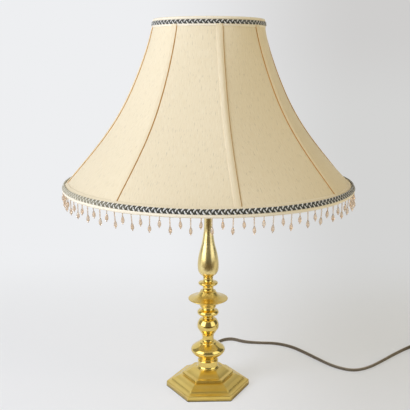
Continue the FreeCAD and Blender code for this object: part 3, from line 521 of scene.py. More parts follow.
def turned_piece(name, outline, material, steps=144):
    """A lathe-turned piece about the upright axis, from a closed outline in millimetres."""
    points = []
    for radius, height in outline:
        for k in range(steps):
            angle = FULL_TURN * k / steps
            points.append((radius * MM * math.cos(angle), radius * MM * math.sin(angle),
                           height * MM))
    faces, _ = grid(len(outline), steps, True, True)
    return mesh_piece(name, points, faces, material)


def grown(name, tree_maker, **inputs):
    """A piece grown by a geometry node tree with these inputs, made a plain mesh."""
    group = bpy.data.node_groups.new(name, "GeometryNodeTree")
    tree = Tree(group)
    keys = {}
    for label, value in inputs.items():
        kind = {int: "Int", float: "Float"}.get(type(value), "Object")
        keys[label] = group.interface.new_socket(
            label, in_out="INPUT", socket_type="NodeSocket" + kind).identifier
    group.interface.new_socket("Geometry", in_out="OUTPUT", socket_type="NodeSocketGeometry")
    given = group.nodes.new("NodeGroupInput")
    result = tree_maker(tree, {label: Value(tree, given.outputs[label]) for label in inputs})
    tree.feed(group.nodes.new("NodeGroupOutput").inputs[0], result)
    seed = shown(name + "_seed", bpy.data.meshes.new(name + "_seed"))
    modifier = seed.modifiers.new(name, "NODES")
    modifier.node_group = group
    for label, value in inputs.items():
        modifier[keys[label]] = value
    piece = shown(name, settled_mesh(seed))
    piece.data.name = name
    return piece


def settled_mesh(source):
    """The plain mesh that a curve or a grown object comes to. The source is taken away."""
    source.update_tag()
    bpy.context.view_layer.update()
    evaluated = source.evaluated_get(bpy.context.evaluated_depsgraph_get())
    mesh = bpy.data.meshes.new_from_object(evaluated)
    bpy.data.objects.remove(source)
    return mesh


# Cord

CORD_HALF = 0.0025
CORD_LEAVES = [(0.0, 0.0763, 0.0049), (0.0, 0.094, 0.0049), (0.003, 0.115, 0.0032)]
CORD_LIES = [
    (0.013, 0.1375), (0.0275, 0.163), (0.049, 0.173), (0.070, 0.156), (0.097, 0.151),
    (0.124, 0.1485), (0.148, 0.134), (0.1665, 0.109), (0.185, 0.079), (0.204, 0.051),
    (0.230, 0.034), (0.257, 0.044), (0.285, 0.0675), (0.312, 0.0925), (0.339, 0.1155),
]
CORD_LIE_HEIGHT = 0.003
TIGHT_BEND = (0.049, 0.173)
LEAD_HEIGHT = 0.0029
PLUG_HEIGHT = 0.00685
PLUG_REACH = 0.016
COIL_MIDDLE = (0.401, 0.110)
COIL_RADIUS = 0.030
COIL_PITCH = 0.0058
COIL_TURNS = 6.35
COIL_START = 125.0
COIL_LIFT = 0.0008
COIL_POINTS = 20
FLEX_LOBE = 0.0016
FLEX_OFFSET = 0.0013
FLEX_LOBE_SWEEP = 128
FLEX_LOBE_POINTS = 9
LAZY_LIE = 1.26
LAZY_SWING = 0.2
LAZY_WAVES = 31.0


def coil_point(turn):
    """The coil's line after some turns, clockwise: inwards below, then outwards on top."""
    half = COIL_TURNS / 2
    radius = COIL_RADIUS + COIL_PITCH * (half / 2 - min(turn, COIL_TURNS - turn))
    climb = max(0.0, min(1.0, (turn - half) * 2 + 0.5))
    layer = climb * climb * (3 - 2 * climb)
    angle = math.radians(COIL_START - 360 * turn)
    return Vector((
        COIL_MIDDLE[0] + radius * math.cos(angle),
        COIL_MIDDLE[1] + radius * math.sin(angle),
        CORD_HALF + COIL_LIFT + COIL_PITCH * layer,
    ))


def cord_points():
    """The flex's own points, from the foot to the plug."""
    points = [Vector(p) for p in CORD_LEAVES]
    points += [Vector((x, y, CORD_LIE_HEIGHT)) for x, y in CORD_LIES]
    start = coil_point(0)
    heading = (coil_point(0.01) - start).normalized()
    lead = start - heading * (points[-1] - start).length * 0.5
    lead.z = LEAD_HEIGHT
    points.append(lead)
    steps = int(COIL_TURNS * COIL_POINTS)
    points += [coil_point(COIL_TURNS * k / steps) for k in range(steps + 1)]
    end = points[-1]
    heading = (end - coil_point(COIL_TURNS - 0.01)).normalized()
    first = end + heading * PLUG_REACH
    level = Vector((heading.x, heading.y, 0)).normalized()
    second = first + level * PLUG_REACH
    second.z = PLUG_HEIGHT
    return points + [first, second, second + level * PLUG_REACH]


def flex_line(points):
    """The points along a smooth curve with these control points."""
    curve = bpy.data.curves.new("flex_line", "CURVE")
    curve.dimensions = "3D"
    line = curve.splines.new("NURBS")
    line.points.add(len(points) - 1)
    for place, point in zip(line.points, points):
        place.co = (*point, 1.0)
    line.order_u = 3
    line.use_endpoint_u = True
    line.resolution_u = 8
    mesh = settled_mesh(shown("flex_line", curve))
    line_points = np.array([v.co for v in mesh.vertices], float)
    bpy.data.meshes.remove(mesh)
    return line_points


def flex_roll(line, along):
    """How far the flex lies over: lazily turning on the table, on edge where it bends tightly."""
    def near(spot, full, none):
        away = np.hypot(line[:, 0] - spot[0], line[:, 1] - spot[1])
        share = np.clip((none - away) / (none - full), 0.0, 1.0)
        return share * share * (3 - 2 * share)

    on_edge = np.maximum(near(TIGHT_BEND, full=0.012, none=0.055),
                         near(COIL_MIDDLE, full=0.05, none=0.10))
    lazy = LAZY_LIE + LAZY_SWING * np.sin(along * LAZY_WAVES)
    return (lazy * (1 - on_edge) + on_edge * math.pi / 2)[:, None]


def make_flex():
    """The flat twin flex and the line that it follows."""
    line = flex_line(cord_points())
    ahead = np.gradient(line, axis=0)
    ahead /= np.linalg.norm(ahead, axis=1)[:, None]
    side = np.cross(ahead, (0.0, 0.0, 1.0))
    side /= np.linalg.norm(side, axis=1)[:, None]
    rise = np.cross(side, ahead)
    along = way_along(line)
    roll = flex_roll(line, along)
    wide = side * np.cos(roll) + rise * np.sin(roll)
    thin = rise * np.cos(roll) - side * np.sin(roll)
    profile = []
    for turn, middle in ((0.0, FLEX_OFFSET), (math.pi, -FLEX_OFFSET)):
        for angle in np.radians(np.linspace(-FLEX_LOBE_SWEEP, FLEX_LOBE_SWEEP, FLEX_LOBE_POINTS)):
            profile.append((middle + FLEX_LOBE * math.cos(angle + turn),
                            FLEX_LOBE * math.sin(angle + turn)))
    rows, columns = len(line), len(profile)
    points = np.stack([line + wide * out + thin * up for out, up in profile], axis=1)
    faces, corners = grid(rows, columns, close_columns=True, turned=True)
    faces += [cap[::-1] for cap in ring_caps(rows, columns)]
    u = np.linspace(-0.25, 0.75, columns + 1)
    pairs = [(u[b], along[a]) for a, b in corners] + [(0.25, 0.0)] * (2 * columns)
    piece = mesh_piece("flex", points.reshape(-1, 3), faces, flex_brown, pairs)
    return fitted(piece, "stand", "brown_flex", "cord_run", "cord_coil", "cord_tail"), line


TIE_STEPS = 48
TIE_SQUARENESS = 0.55
TIE_TURN = 250.0
TIE_PLAY = 0.0008
TIE_UNDER = 0.0005
TIE_LOWEST = 0.0001
TIE_STRAP = [
    # along the flex, out from the bundle
    (-0.004, 0.0), (-0.0036, 0.0004), (0.0, 0.0005), (0.0036, 0.0004),
    (0.004, 0.0), (0.0036, -0.0002), (0.0, -0.0002), (-0.0036, -0.0002),
]


def make_tie():
    """A soft strap round the bundle of turns, a rounded box in its section."""
    half_band = COIL_PITCH * COIL_TURNS / 4
    inner = COIL_RADIUS - half_band - CORD_HALF
    outer = COIL_RADIUS + half_band + CORD_HALF
    low, high = TIE_UNDER, COIL_LIFT + COIL_PITCH + 2 * CORD_HALF + TIE_PLAY
    middle_x, middle_z = (inner + outer) / 2, (low + high) / 2
    half_x, half_z = (outer - inner) / 2 + TIE_PLAY, (high - low) / 2
    turn = Matrix.Rotation(math.radians(TIE_TURN), 3, "Z")
    points = []
    for k in range(TIE_STEPS):
        angle = FULL_TURN * k / TIE_STEPS
        x, z = (math.copysign(abs(share) ** TIE_SQUARENESS, share)
                for share in (math.cos(angle), math.sin(angle)))
        for y, out in TIE_STRAP:
            height = max(middle_z + z * (half_z + out), TIE_LOWEST)
            spot = turn @ Vector((middle_x + x * (half_x + out), y, height))
            points.append((spot.x + COIL_MIDDLE[0], spot.y + COIL_MIDDLE[1], spot.z))
    faces, _ = grid(TIE_STEPS, len(TIE_STRAP), True, True)
    return fitted(mesh_piece("coil_strap", points, faces, plain["felt"]),
                  "stand", "tie_fabric", "coil_tie")


flex, flex_path = make_flex()
coil_strap = make_tie()


BUSH_BORE = 2.6
BUSH_INSIDE = 46.5
BUSH_WALL = 54.3
BUSH_COLLAR = 3.0
BUSH_LENGTH = 22.0
BUSH_RIBS = 6
BUSH_RIB_STEP = 3.1
BUSH_TAPER = 0.16
BUSH_ROUND = 0.2
BUSH_SIDES = 48


def make_bush():
    """The ribbed rubber strain relief in the foot's back wall, tapering along the flex."""
    wall, end = BUSH_WALL, BUSH_WALL + BUSH_LENGTH
    outline = [(BUSH_BORE, BUSH_INSIDE), (3.6, BUSH_INSIDE), (3.6, 49.0), (3.15, 49.0),
               (3.15, wall), (4.2, wall), (4.2, wall + BUSH_COLLAR)]
    for k in range(BUSH_RIBS):
        start = wall + BUSH_COLLAR + BUSH_RIB_STEP * k
        radius = 4.15 - BUSH_TAPER * k
        outline += [(radius - 0.5, start + 0.3), (radius - 0.5, start + 1.1),
                    (radius, start + 1.5), (radius - 0.08, start + 3.0)]
    outline += [(3.1, end), (BUSH_BORE, end)]
    piece = turned_piece("strain_relief", soften(outline, BUSH_ROUND), plain["brown_rubber"],
                         BUSH_SIDES)
    piece.data.transform(Matrix.Translation((0, 0, CORD_LEAVES[0][2]))
                         @ Matrix.Rotation(-math.pi / 2, 4, "X"))
    fitted(piece, "stand", "brown_flex", "cord_bush")


make_bush()


# Foot and stem

COLLAR = [
    [(1, 0), (1, 0.05)],
    [(0.9, 0.18), (0.865, 0.4)],
    [(0.865, 0.94)],
    [(0.83, 1)],
]
KNOP = [
    [(0.5, 0), (0.49, 0.03), (0.5, 0.055)],
    [(0.58, 0.066)],
    [(0.585, 0.11), (0.79, 0.29), (0.94, 0.412), (1, 0.5415), (0.952, 0.6572),
     (0.823, 0.7572), (0.665, 0.8492), (0.52, 0.93)],
    [(0.5, 0.9605)],
    [(0.38, 1)],
]
BALUSTER = [
    [(0.58, 0), (0.535, 0.08), (0.525, 0.17), (0.55, 0.25), (0.62, 0.335), (0.74, 0.4)],
    [(0.77, 0.432)],
    [(0.83, 0.475), (0.944, 0.552), (1, 0.69), (0.931, 0.842), (0.769, 0.963)],
    [(0.55, 1)],
]
RING_SPOOL = [
    [(0.515, 0), (0.5, 0.1), (0.54, 0.22)],
    [(0.79, 0.34)],
    [(0.97, 0.45), (1, 0.55), (0.98, 0.64)],
    [(0.9, 0.745)],
    [(0.75, 0.79), (0.62, 0.86), (0.585, 1)],
]
DRIP_PAN = [
    [(0.329, 0), (0.394, 0.036), (0.408, 0.082)],
    [(0.408, 0.121)],
    [(0.387, 0.136)],
    [(0.479, 0.193), (0.651, 0.286), (0.856, 0.4), (0.983, 0.464)],
    [(1, 0.491), (0.985, 0.518)],
    [(0.839, 0.554), (0.685, 0.596), (0.562, 0.664), (0.466, 0.768), (0.401, 0.861)],
    [(0.387, 0.871)],
    [(0.387, 0.914)],
    [(0.301, 0.943), (0.277, 1)],
]
UPPER_SPOOL = [
    [(0.555, 0), (0.545, 0.2), (0.6, 0.34)],
    [(0.95, 0.43)],
    [(1, 0.515), (0.95, 0.6)],
    [(0.56, 0.69)],
    [(0.5, 0.78), (0.49, 0.9), (0.505, 1)],
]
VASE = [
    [(0.468, 0), (0.571, 0.016), (0.773, 0.031), (0.948, 0.058), (1, 0.092), (0.93, 0.171),
     (0.792, 0.227), (0.623, 0.283), (0.513, 0.339), (0.435, 0.383), (0.396, 0.432),
     (0.39, 0.51)],
    [(0.39, 1)],
]
STEM_BOTTOM = 30.6
STEM_BORE = 5.05
STEM_SECTIONS = [
    # name, outline, widest radius, height, finish
    ("base_collar", COLLAR, 17.6, 12.2, polished_brass),
    ("lower_knop", KNOP, 25.4, 29.2, polished_brass),
    ("baluster", BALUSTER, 16.0, 35.5, polished_brass),
    ("ring_spool", RING_SPOOL, 15.9, 17.0, polished_brass),
    ("drip_pan", DRIP_PAN, 29.2, 28.0, satin_brass),
    ("upper_spool", UPPER_SPOOL, 14.4, 18.0, polished_brass),
    ("vase_stem", VASE, 15.4, 179.5, lit_vase_brass),
]


def make_stem():
    """The turned brass sections, each seated on the one below."""
    bottom = STEM_BOTTOM
    for name, runs, radius, height, material in STEM_SECTIONS:
        outline = [(STEM_BORE, bottom), *outline_of(runs, radius, bottom, height),
                   (STEM_BORE, bottom + height)]
        fitted(turned_piece(name + "_turned", outline, material), "stand", "turned_brass", name)
        bottom += height


make_stem()

FOOT_BELOW = [(1.0, 0.0), (0.994, 0.226), (0.978, 0.252)]
FOOT_ABOVE = [
    (0.87, 0.344), (0.863, 0.372), (0.853, 0.38), (0.772, 0.462), (0.765, 0.474), (0.677, 0.567),
    (0.66, 0.575), (0.602, 0.585), (0.6, 0.64), (0.617, 0.66), (0.613, 0.706), (0.601, 0.722),
    (0.526, 0.726), (0.356, 1.0),
]
FOOT_CORNER = 62.6
FOOT_BOTTOM = 1.2
FOOT_HEIGHT = 29.4
CORNER_ROUND = 0.9
CORNER_HOLD = 2.4
FOOT_ROUND = 0.45
COVE_STEPS = 9
SIDE_SHIFT = 0.37
FELT_OUTLINE = [(61.0, 0.0), (62.4, 0.12), (62.6, 0.6), (62.5, 1.1), (62.0, 1.2)]


def hexagon_ring(corner_radius):
    """Points round a hexagon whose corners are rounded, and how far along its side each lies."""
    near, far = CORNER_ROUND, CORNER_ROUND * CORNER_HOLD
    half = corner_radius / 2
    angles = [math.radians(60 * k) for k in range(6)]
    corners = [np.array((math.cos(a), math.sin(a))) * corner_radius for a in angles]
    points = []
    along = []
    for k, b in enumerate(corners):
        to_a = (corners[k - 1] - b) / corner_radius
        to_c = (corners[(k + 1) % 6] - b) / corner_radius
        middle = (b + to_a * near + 2 * b + b + to_c * near) / 4
        points += [b + to_a * far, b + to_a * near, middle, b + to_c * near, b + to_c * far]
        along += [half - far, half - near, half, half + near * 0.1, half + near * 1.5]
    return points, along


def hexagon_stack(outline):
    """Points in metres, row by row, of a hexagonal piece with this outline in millimetres, and how
    far along its side each lies."""
    points = []
    along = []
    for radius, height in outline:
        ring, shares = hexagon_ring(radius)
        points += [(x * MM, y * MM, height * MM) for x, y in ring]
        along.append([share * MM for share in shares])
    return points, along


def make_foot():
    """The stepped hexagonal foot with softened edges."""
    low, high = FOOT_BELOW[-1], FOOT_ABOVE[0]
    cove = []
    for step in range(1, COVE_STEPS):
        angle = math.radians(90 * step / COVE_STEPS)
        cove.append((low[0] + (high[0] - low[0]) * math.sin(angle),
                     low[1] + (high[1] - low[1]) * (1 - math.cos(angle))))
    outline = soften([(FOOT_CORNER * r, FOOT_BOTTOM + FOOT_HEIGHT * h)
                      for r, h in FOOT_BELOW + cove + FOOT_ABOVE], FOOT_ROUND)
    points, u = hexagon_stack(outline)
    v = way_along(outline) * MM
    rows, columns = len(outline), len(u[0])
    faces, _ = grid(rows, columns, close_columns=True)
    pairs = []
    for i in range(rows - 1):
        for j in range(columns):
            start, end = u[i][j], u[i][(j + 1) % columns]
            if start > end:
                end = start + FOOT_CORNER * MM
            shift = (j + 3) // 5 * SIDE_SHIFT
            pairs += [(start + shift, v[i]), (end + shift, v[i]),
                      (end + shift, v[i + 1]), (start + shift, v[i + 1])]
    pairs += [(0.0, 0.0)] * columns + [(0.0, 0.1)] * columns
    piece = mesh_piece("foot_stepped", points, faces + ring_caps(rows, columns), foot_brass, pairs)
    fitted(piece, "stand", "turned_brass", "base_foot")


def make_felt():
    """The felt glued under the foot, its cut edge a little soft."""
    points, along = hexagon_stack(FELT_OUTLINE)
    rows, columns = len(along), len(along[0])
    faces = grid(rows, columns, close_columns=True)[0] + ring_caps(rows, columns)
    fitted(mesh_piece("felt_sole", points, faces, plain["felt"]), "stand", "felt", "felt_pad")


make_foot()
make_felt()


# Shade

PANELS = 8
HALF = math.pi / PANELS
CLOTH_LOW, CLOTH_HIGH = 309.2, 532.1
CLOTH_WIDE, CLOTH_NARROW = 203.1, 75.5
CLOTH_GAP = 0.25
CLOTH_BACK = -0.9
CLOTH_UNDER = 0.05
LINING_FRONT, LINING_BACK = -3.95, -4.4
PATTERN_SHIFT = 400.0
PANEL_GRID = (97, 49)
LINING_GRID = (49, 17)
SEAM_ROWS = 97
SEAM_TURN = 7.4
SHADE_OUTLINE = [
    # share of the rise, share of the spread, roundness between the ribs
    (0.0, 1.0, 1.0), (0.09, 0.868, 0.7), (0.21, 0.69, 0.45), (0.35, 0.5, 0.3),
    (0.5, 0.336, 0.25), (0.68, 0.187, 0.3), (0.86, 0.068, 0.6), (1.0, 0.0, 1.0),
]
SEAM_SIDE = [
    # distance from the seam's middle, rise over the cloth
    (1.5, 1.02), (3.0, 0.95), (4.2, 0.82), (4.55, 0.68), (4.7, 0.42), (4.75, 0.12),
]
SEAM_BAND = [(-out, lift) for out, lift in reversed(SEAM_SIDE)] + [(0.0, 1.05)] + SEAM_SIDE
TAPE_RISE = (0.0, 0.05, 0.25, 0.5, 0.8, 1.0, 1.0, 0.7, 0.2)
TAPE_COLUMNS = 24
TAPE_OVER_SEAM = 0.45
TAPE_SEAM_FROM, TAPE_SEAM_FADE = 0.90, 0.08
TAPE_HALF, TAPE_PANEL = 78, 157
ROLL_ROUNDS, ROLL_SECTION = 288, 20
ROLL_WAVES = [(0.06, 23, 0.0), (0.042, 61, 1.0)]


def seam_angle(index):
    return math.radians(-90 + SEAM_TURN + 360 / PANELS * index)


def cloth_levels(shares):
    """At shares of the rise: radius, roundness, height and widening, then the way up the seam."""
    knots = [(CLOTH_NARROW + (CLOTH_WIDE - CLOTH_NARROW) * out, roundness,
              CLOTH_LOW + (CLOTH_HIGH - CLOTH_LOW) * up) for up, out, roundness in SHADE_OUTLINE]
    place, slope = spline(knots, [row[0] for row in SHADE_OUTLINE], shares)
    radius, roundness, height = place.T
    widening = np.hypot(slope[:, 0], slope[:, 2]) / slope[:, 2]
    return (radius, roundness, height, widening), way_along(place[:, [0, 2]])


def cloth_surface(levels, index, across, outward, from_seam=0.0):
    """Points on a panel and their way across it, in mm. across runs -1 to 1 and may be an array."""
    radius, roundness, height, widening = (value[:, None] for value in levels)
    chord = radius * math.sin(HALF)
    sagitta = radius * (1 - math.cos(HALF)) * roundness
    arc = (chord**2 + sagitta**2) / (2 * sagitta)
    middle = radius * math.cos(HALF) + sagitta - arc
    arc = arc + outward * widening
    swing = across * (HALF + np.arcsin((middle * math.sin(HALF) - from_seam) / arc))
    out = middle + arc * np.cos(swing)
    along = arc * np.sin(swing)
    facing = seam_angle(index) + HALF
    return np.stack([
        out * math.cos(facing) - along * math.sin(facing),
        out * math.sin(facing) + along * math.cos(facing),
        np.broadcast_to(height, out.shape),
    ], axis=-1), arc * swing


def sheet_mesh(name, fronts, backs, u, along, material, round_it=False):
    """A thin closed sheet between front and back grids of points (rows, columns, 3), in mm.

    u is how far across each column lies. round_it joins the last column to the first.
    """
    rows, columns = fronts.shape[:2]
    behind = rows * columns
    points = np.concatenate([fronts.reshape(-1, 3), backs.reshape(-1, 3)]) * MM
    faces, corners = grid(rows, columns, close_columns=round_it)
    back = grid(rows, columns, close_columns=round_it, first=behind, turned=True)
    faces += back[0]
    corners += back[1]
    low = [(0, j) for j in range(columns)]
    high = [(rows - 1, j) for j in reversed(range(columns))]
    if round_it:
        rims = [low, high]
    else:
        inner = range(1, rows - 1)
        rims = [low + [(i, columns - 1) for i in inner] + high + [(i, 0) for i in reversed(inner)]]
    for rim in rims:
        for one, other in zip(rim, rim[1:] + rim[:1]):
            a, b = (row * columns + column for row, column in (one, other))
            faces.append([b, a, a + behind, b + behind])
            corners += [other, one, one, other]
    pairs = [(u[a, b % columns] * MM, along[a] * MM) for a, b in corners]
    return mesh_piece(name, points, faces, material, pairs)


def flat_cut(fronts):
    """The flat width, length and area of one panel, in metres, from its front grid in mm."""
    widths = np.linalg.norm(np.diff(fronts, axis=1), axis=2).sum(axis=1)
    down = np.linalg.norm(np.diff(fronts, axis=0), axis=2)
    area = float(((widths[1:] + widths[:-1]) / 2 * down.mean(axis=1)).sum())
    return float(widths.max()) * MM, float(down.max(axis=1).sum()) * MM, area * MM * MM


def panel_sheet(name, index, size, outward, inward, material):
    """One panel between two distances from the stretched cloth, and its flat size."""
    rows, columns = size
    levels, along = cloth_levels(np.linspace(0.0, 1.0, rows))
    across = np.linspace(-1.0, 1.0, columns)[None]
    front, u = cloth_surface(levels, index, across, outward, CLOTH_GAP)
    back, _ = cloth_surface(levels, index, across, inward, CLOTH_GAP)
    piece = sheet_mesh(name, front, back, u + PATTERN_SHIFT * index, along, material)
    return piece, flat_cut(front)


def make_panels():
    """Eight stretched cloth panels, taut between the ribs, with their flat sizes."""
    made = []
    for index in range(PANELS):
        piece, size = panel_sheet(f"cloth_panel_{index + 1}", index, PANEL_GRID, 0.0, CLOTH_BACK,
                                  panel_cream)
        made.append((fitted(piece, "shade", "cream_fabric", f"shade_panel_{index + 1}"), size))
    return made


def make_lining():
    """The pale lining, one strip a panel, close inside the ribs, with its flat size in all."""
    parts = [panel_sheet(f"lining_{index + 1}", index, LINING_GRID, LINING_FRONT, LINING_BACK,
                         lining_cream) for index in range(PANELS)]
    widths, lengths, areas = zip(*(size for _, size in parts))
    piece = joined("lining_cloth", [part for part, _ in parts])
    size = sum(widths), max(lengths), sum(areas)
    return fitted(piece, "shade", "lining_fabric", "shade_lining"), size


def joined(name, parts):
    """One piece from several with the same material."""
    work = bmesh.new()
    for part in parts:
        work.from_mesh(part.data)
    mesh = bpy.data.meshes.new(name)
    mesh.materials.append(parts[0].data.materials[0])
    work.to_mesh(mesh)
    work.free()
    for part in parts:
        bpy.data.objects.remove(part)
    return shown(name, mesh)


def make_seams():
    """The folded cloth band over each rib: softly raised, with a hard edge each side."""
    levels, along = cloth_levels(np.linspace(0.0, 1.0, SEAM_ROWS))
    offsets = np.array([[offset for offset, _ in SEAM_BAND]])
    parts = []
    for index in range(PANELS):
        grids = [], []
        for offset, lift in SEAM_BAND:
            panel, side = (index - 1, 1.0) if offset < 0 else (index, -1.0)
            for points, rise in zip(grids, (lift, CLOTH_UNDER)):
                spot, _ = cloth_surface(levels, panel, np.array([[side]]), rise, abs(offset))
                points.append(spot[:, 0])
        front, back = (np.stack(points, 1) for points in grids)
        # painted shadow: the strong shadow line goes on the band's edge towards the front middle,
        # and on the front seam's right edge
        shadow_side = 1.0 if math.cos(seam_angle(index)) < 0 or index == 0 else -1.0
        u = np.repeat(offsets * shadow_side, len(along), 0)
        parts.append(sheet_mesh(f"seam_{index + 1}", front, back, u, along, seam_cloth))
    return fitted(joined("seam_bands", parts), "shade", "cream_fabric", "seam_folds")


def make_tape(name, material, first_share, last_share, first_out, last_out):
    """A folded cloth strip round the shade beside a braid, over the seams."""
    levels, along = cloth_levels(np.linspace(first_share, last_share, len(TAPE_RISE)))
    across = np.linspace(-1.0, 1.0, TAPE_COLUMNS + 1)[None, :-1]
    lift = np.array([first_out + (last_out - first_out) * rise for rise in TAPE_RISE])[:, None]
    lift = lift + TAPE_OVER_SEAM * np.clip(
        (np.abs(across) - TAPE_SEAM_FROM) / TAPE_SEAM_FADE, 0, 1)
    front, back = (np.concatenate([cloth_surface(levels, index, across, rise)[0]
                                   for index in range(PANELS)], 1)
                   for rise in (lift, CLOTH_UNDER))
    u = np.concatenate([across * TAPE_HALF + TAPE_PANEL * index for index in range(PANELS)], 1)
    u = np.repeat(u, len(along), 0)
    piece = sheet_mesh(name, front, back, u, along, material, round_it=True)
    return fitted(piece, "shade", "cream_fabric")


def make_roll(name, node, ring_radius, height, radius):
    """The cloth rolled round a ring wire, a little uneven by hand."""
    points = []
    for k in range(ROLL_ROUNDS):
        angle = FULL_TURN * k / ROLL_ROUNDS
        wave = sum(size * math.sin(count * angle + start) for size, count, start in ROLL_WAVES)
        for j in range(ROLL_SECTION):
            turn = FULL_TURN * j / ROLL_SECTION
            out = ring_radius + (radius + wave) * math.cos(turn)
            up = height + (radius + wave) * math.sin(turn)
            points.append((out * MM * math.cos(angle), out * MM * math.sin(angle), up * MM))
    faces, corners = grid(ROLL_ROUNDS, ROLL_SECTION, True, True)
    length, girth = ring_radius * FULL_TURN * MM, radius * FULL_TURN * MM
    pairs = [(length * a / ROLL_ROUNDS, girth * b / ROLL_SECTION) for a, b in corners]
    piece = mesh_piece(name, points, faces, hem_cream, pairs)
    return fitted(piece, "shade", "cream_fabric", node)


panels = make_panels()
lining, lining_size = make_lining()
seams = make_seams()
low_tape = make_tape("hem_tape", panel_cream, first_share=0.0, last_share=0.034,
                     first_out=0.35, last_out=1.0)
high_tape = make_tape("top_tape", hem_cream, first_share=1.0, last_share=0.966,
                      first_out=0.35, last_out=0.7)
hem_roll = make_roll("hem_roll", "hem_binding", ring_radius=201.8, height=307.1, radius=2.8)
top_roll = make_roll("top_roll", "top_binding", ring_radius=74.0, height=534.2, radius=2.5)


# Braids

PLAIT_STEPS = 12
PLAIT_LIFT = 0.3
YARN_SIDES = 7


def plait(tree, given):
    """Three yarns plaited flat round a circle: two dark and one silver."""
    strands = []
    count = given["Periods"] * float(PLAIT_STEPS)
    index = tree.node("GeometryNodeInputIndex")
    around = index * FULL_TURN / count
    for k, material in enumerate((dark_yarn, dark_yarn, silver_yarn)):
        phase = index * (FULL_TURN / PLAIT_STEPS) + FULL_TURN * k / 3
        sway = phase.sine() * given["Sway"]
        out = (phase * 2.0).sine() * given["Lift"] + given["Radius"] - sway * given["Lean"]
        place = tree.node("ShaderNodeCombineXYZ", {
            0: out * around.cosine(), 1: out * around.sine(), 2: given["Height"] + sway})
        circle = tree.node("GeometryNodeMeshCircle", {"Vertices": count, "Radius": 1.0})
        moved = tree.node("GeometryNodeSetPosition", {"Geometry": circle, "Position": place})
        curve = tree.node("GeometryNodeMeshToCurve", {0: moved})
        profile = tree.node("GeometryNodeCurvePrimitiveCircle", {
            "Resolution": YARN_SIDES, "Radius": given["Yarn"]})
        tube = tree.node("GeometryNodeCurveToMesh", {"Curve": curve, "Profile Curve": profile})
        tube = tree.node("GeometryNodeSetShadeSmooth", {"Geometry": tube})
        strands.append(tree.node("GeometryNodeSetMaterial", {
            "Geometry": tube, "Material": material}))
    together = tree.gather("GeometryNodeJoinGeometry", reversed(strands))
    return tree.node("GeometryNodeRealizeInstances", {0: together})


def make_braid(name, node, radius, height, lean, periods, sway, yarn_radius):
    """A braid round the shade at this radius and height, in mm; lean tips its top inwards."""
    piece = grown(name, plait, Periods=periods, Radius=radius * MM, Height=height * MM,
                  Sway=sway * MM, Lift=PLAIT_LIFT * MM, Lean=lean, Yarn=yarn_radius * MM)
    return fitted(piece, "shade", "braid_yarn", node)


low_braid = make_braid("hem_braid", "bottom_braid", radius=202.9, height=312.0, lean=0.5,
                       periods=180, sway=2.3, yarn_radius=0.98)
high_braid = make_braid("top_edge_braid", "top_braid", radius=77.0, height=530.0, lean=0.1,
                        periods=70, sway=1.9, yarn_radius=0.92)


# Bead fringe

BALL = [(0.0, 0), (0.12, 0.62), (0.36, 0.97), (0.64, 0.97), (0.88, 0.62), (1.0, 0)]
DROP = [(0.0, 0), (0.02, 0.24), (0.2, 0.6), (0.46, 0.9), (0.7, 1.0), (0.9, 0.8), (0.98, 0.4),
        (1.0, 0)]
SEED_STEP = 1.75
SEED_BEAD = (0.9, 1.7)
DROP_BEAD = (2.15, 8.6)
END_BEAD = (0.85, 1.7)
BALL_SIDES, DROP_SIDES = 8, 10
STRINGS = 104
FRINGE_RADIUS = 0.2036
FRINGE_HEIGHT = 0.3048
FRINGE_START = -91.4
FRINGE_SEED = 11
LEAST_TILT = (-0.07, -0.05, 0.0)
MOST_TILT = (0.07, 0.09, 6.28)


def add_bead(work, size, top, outline, sides):
    """A bead hung from this height; its size is its widest radius and how tall it is, in mm."""
    radius, tall = size
    rings = []
    for share, width in outline:
        height = (top - tall / 2 + tall * (0.5 - share)) * MM
        reach = radius * width * MM
        spots = [(reach * math.cos(FULL_TURN * k / sides), reach * math.sin(FULL_TURN * k / sides),
                  height) for k in range(sides)]
        if width:
            rings.append([work.verts.new(spot) for spot in spots])
        else:
            rings.append([work.verts.new((0, 0, height))] * sides)
    for high, low in zip(rings, rings[1:]):
        for k in range(sides):
            j = (k + 1) % sides
            corners = list(dict.fromkeys((high[k], low[k], low[j], high[j])))
            work.faces.new(corners).smooth = True


def strand_piece(name, seeds):
    """One string of the fringe: seed beads, a drop bead and a tiny end bead, hung from the top."""
    work = bmesh.new()
    spare = (SEED_STEP - SEED_BEAD[1]) / 2
    for k in range(seeds):
        add_bead(work, SEED_BEAD, -SEED_STEP * k - spare, BALL, BALL_SIDES)
    top = -SEED_STEP * seeds
    add_bead(work, DROP_BEAD, top, DROP, DROP_SIDES)
    add_bead(work, END_BEAD, top - DROP_BEAD[1], BALL, BALL_SIDES)
    mesh = bpy.data.meshes.new(name)
    work.to_mesh(mesh)
    work.free()
    return shown(name, mesh)


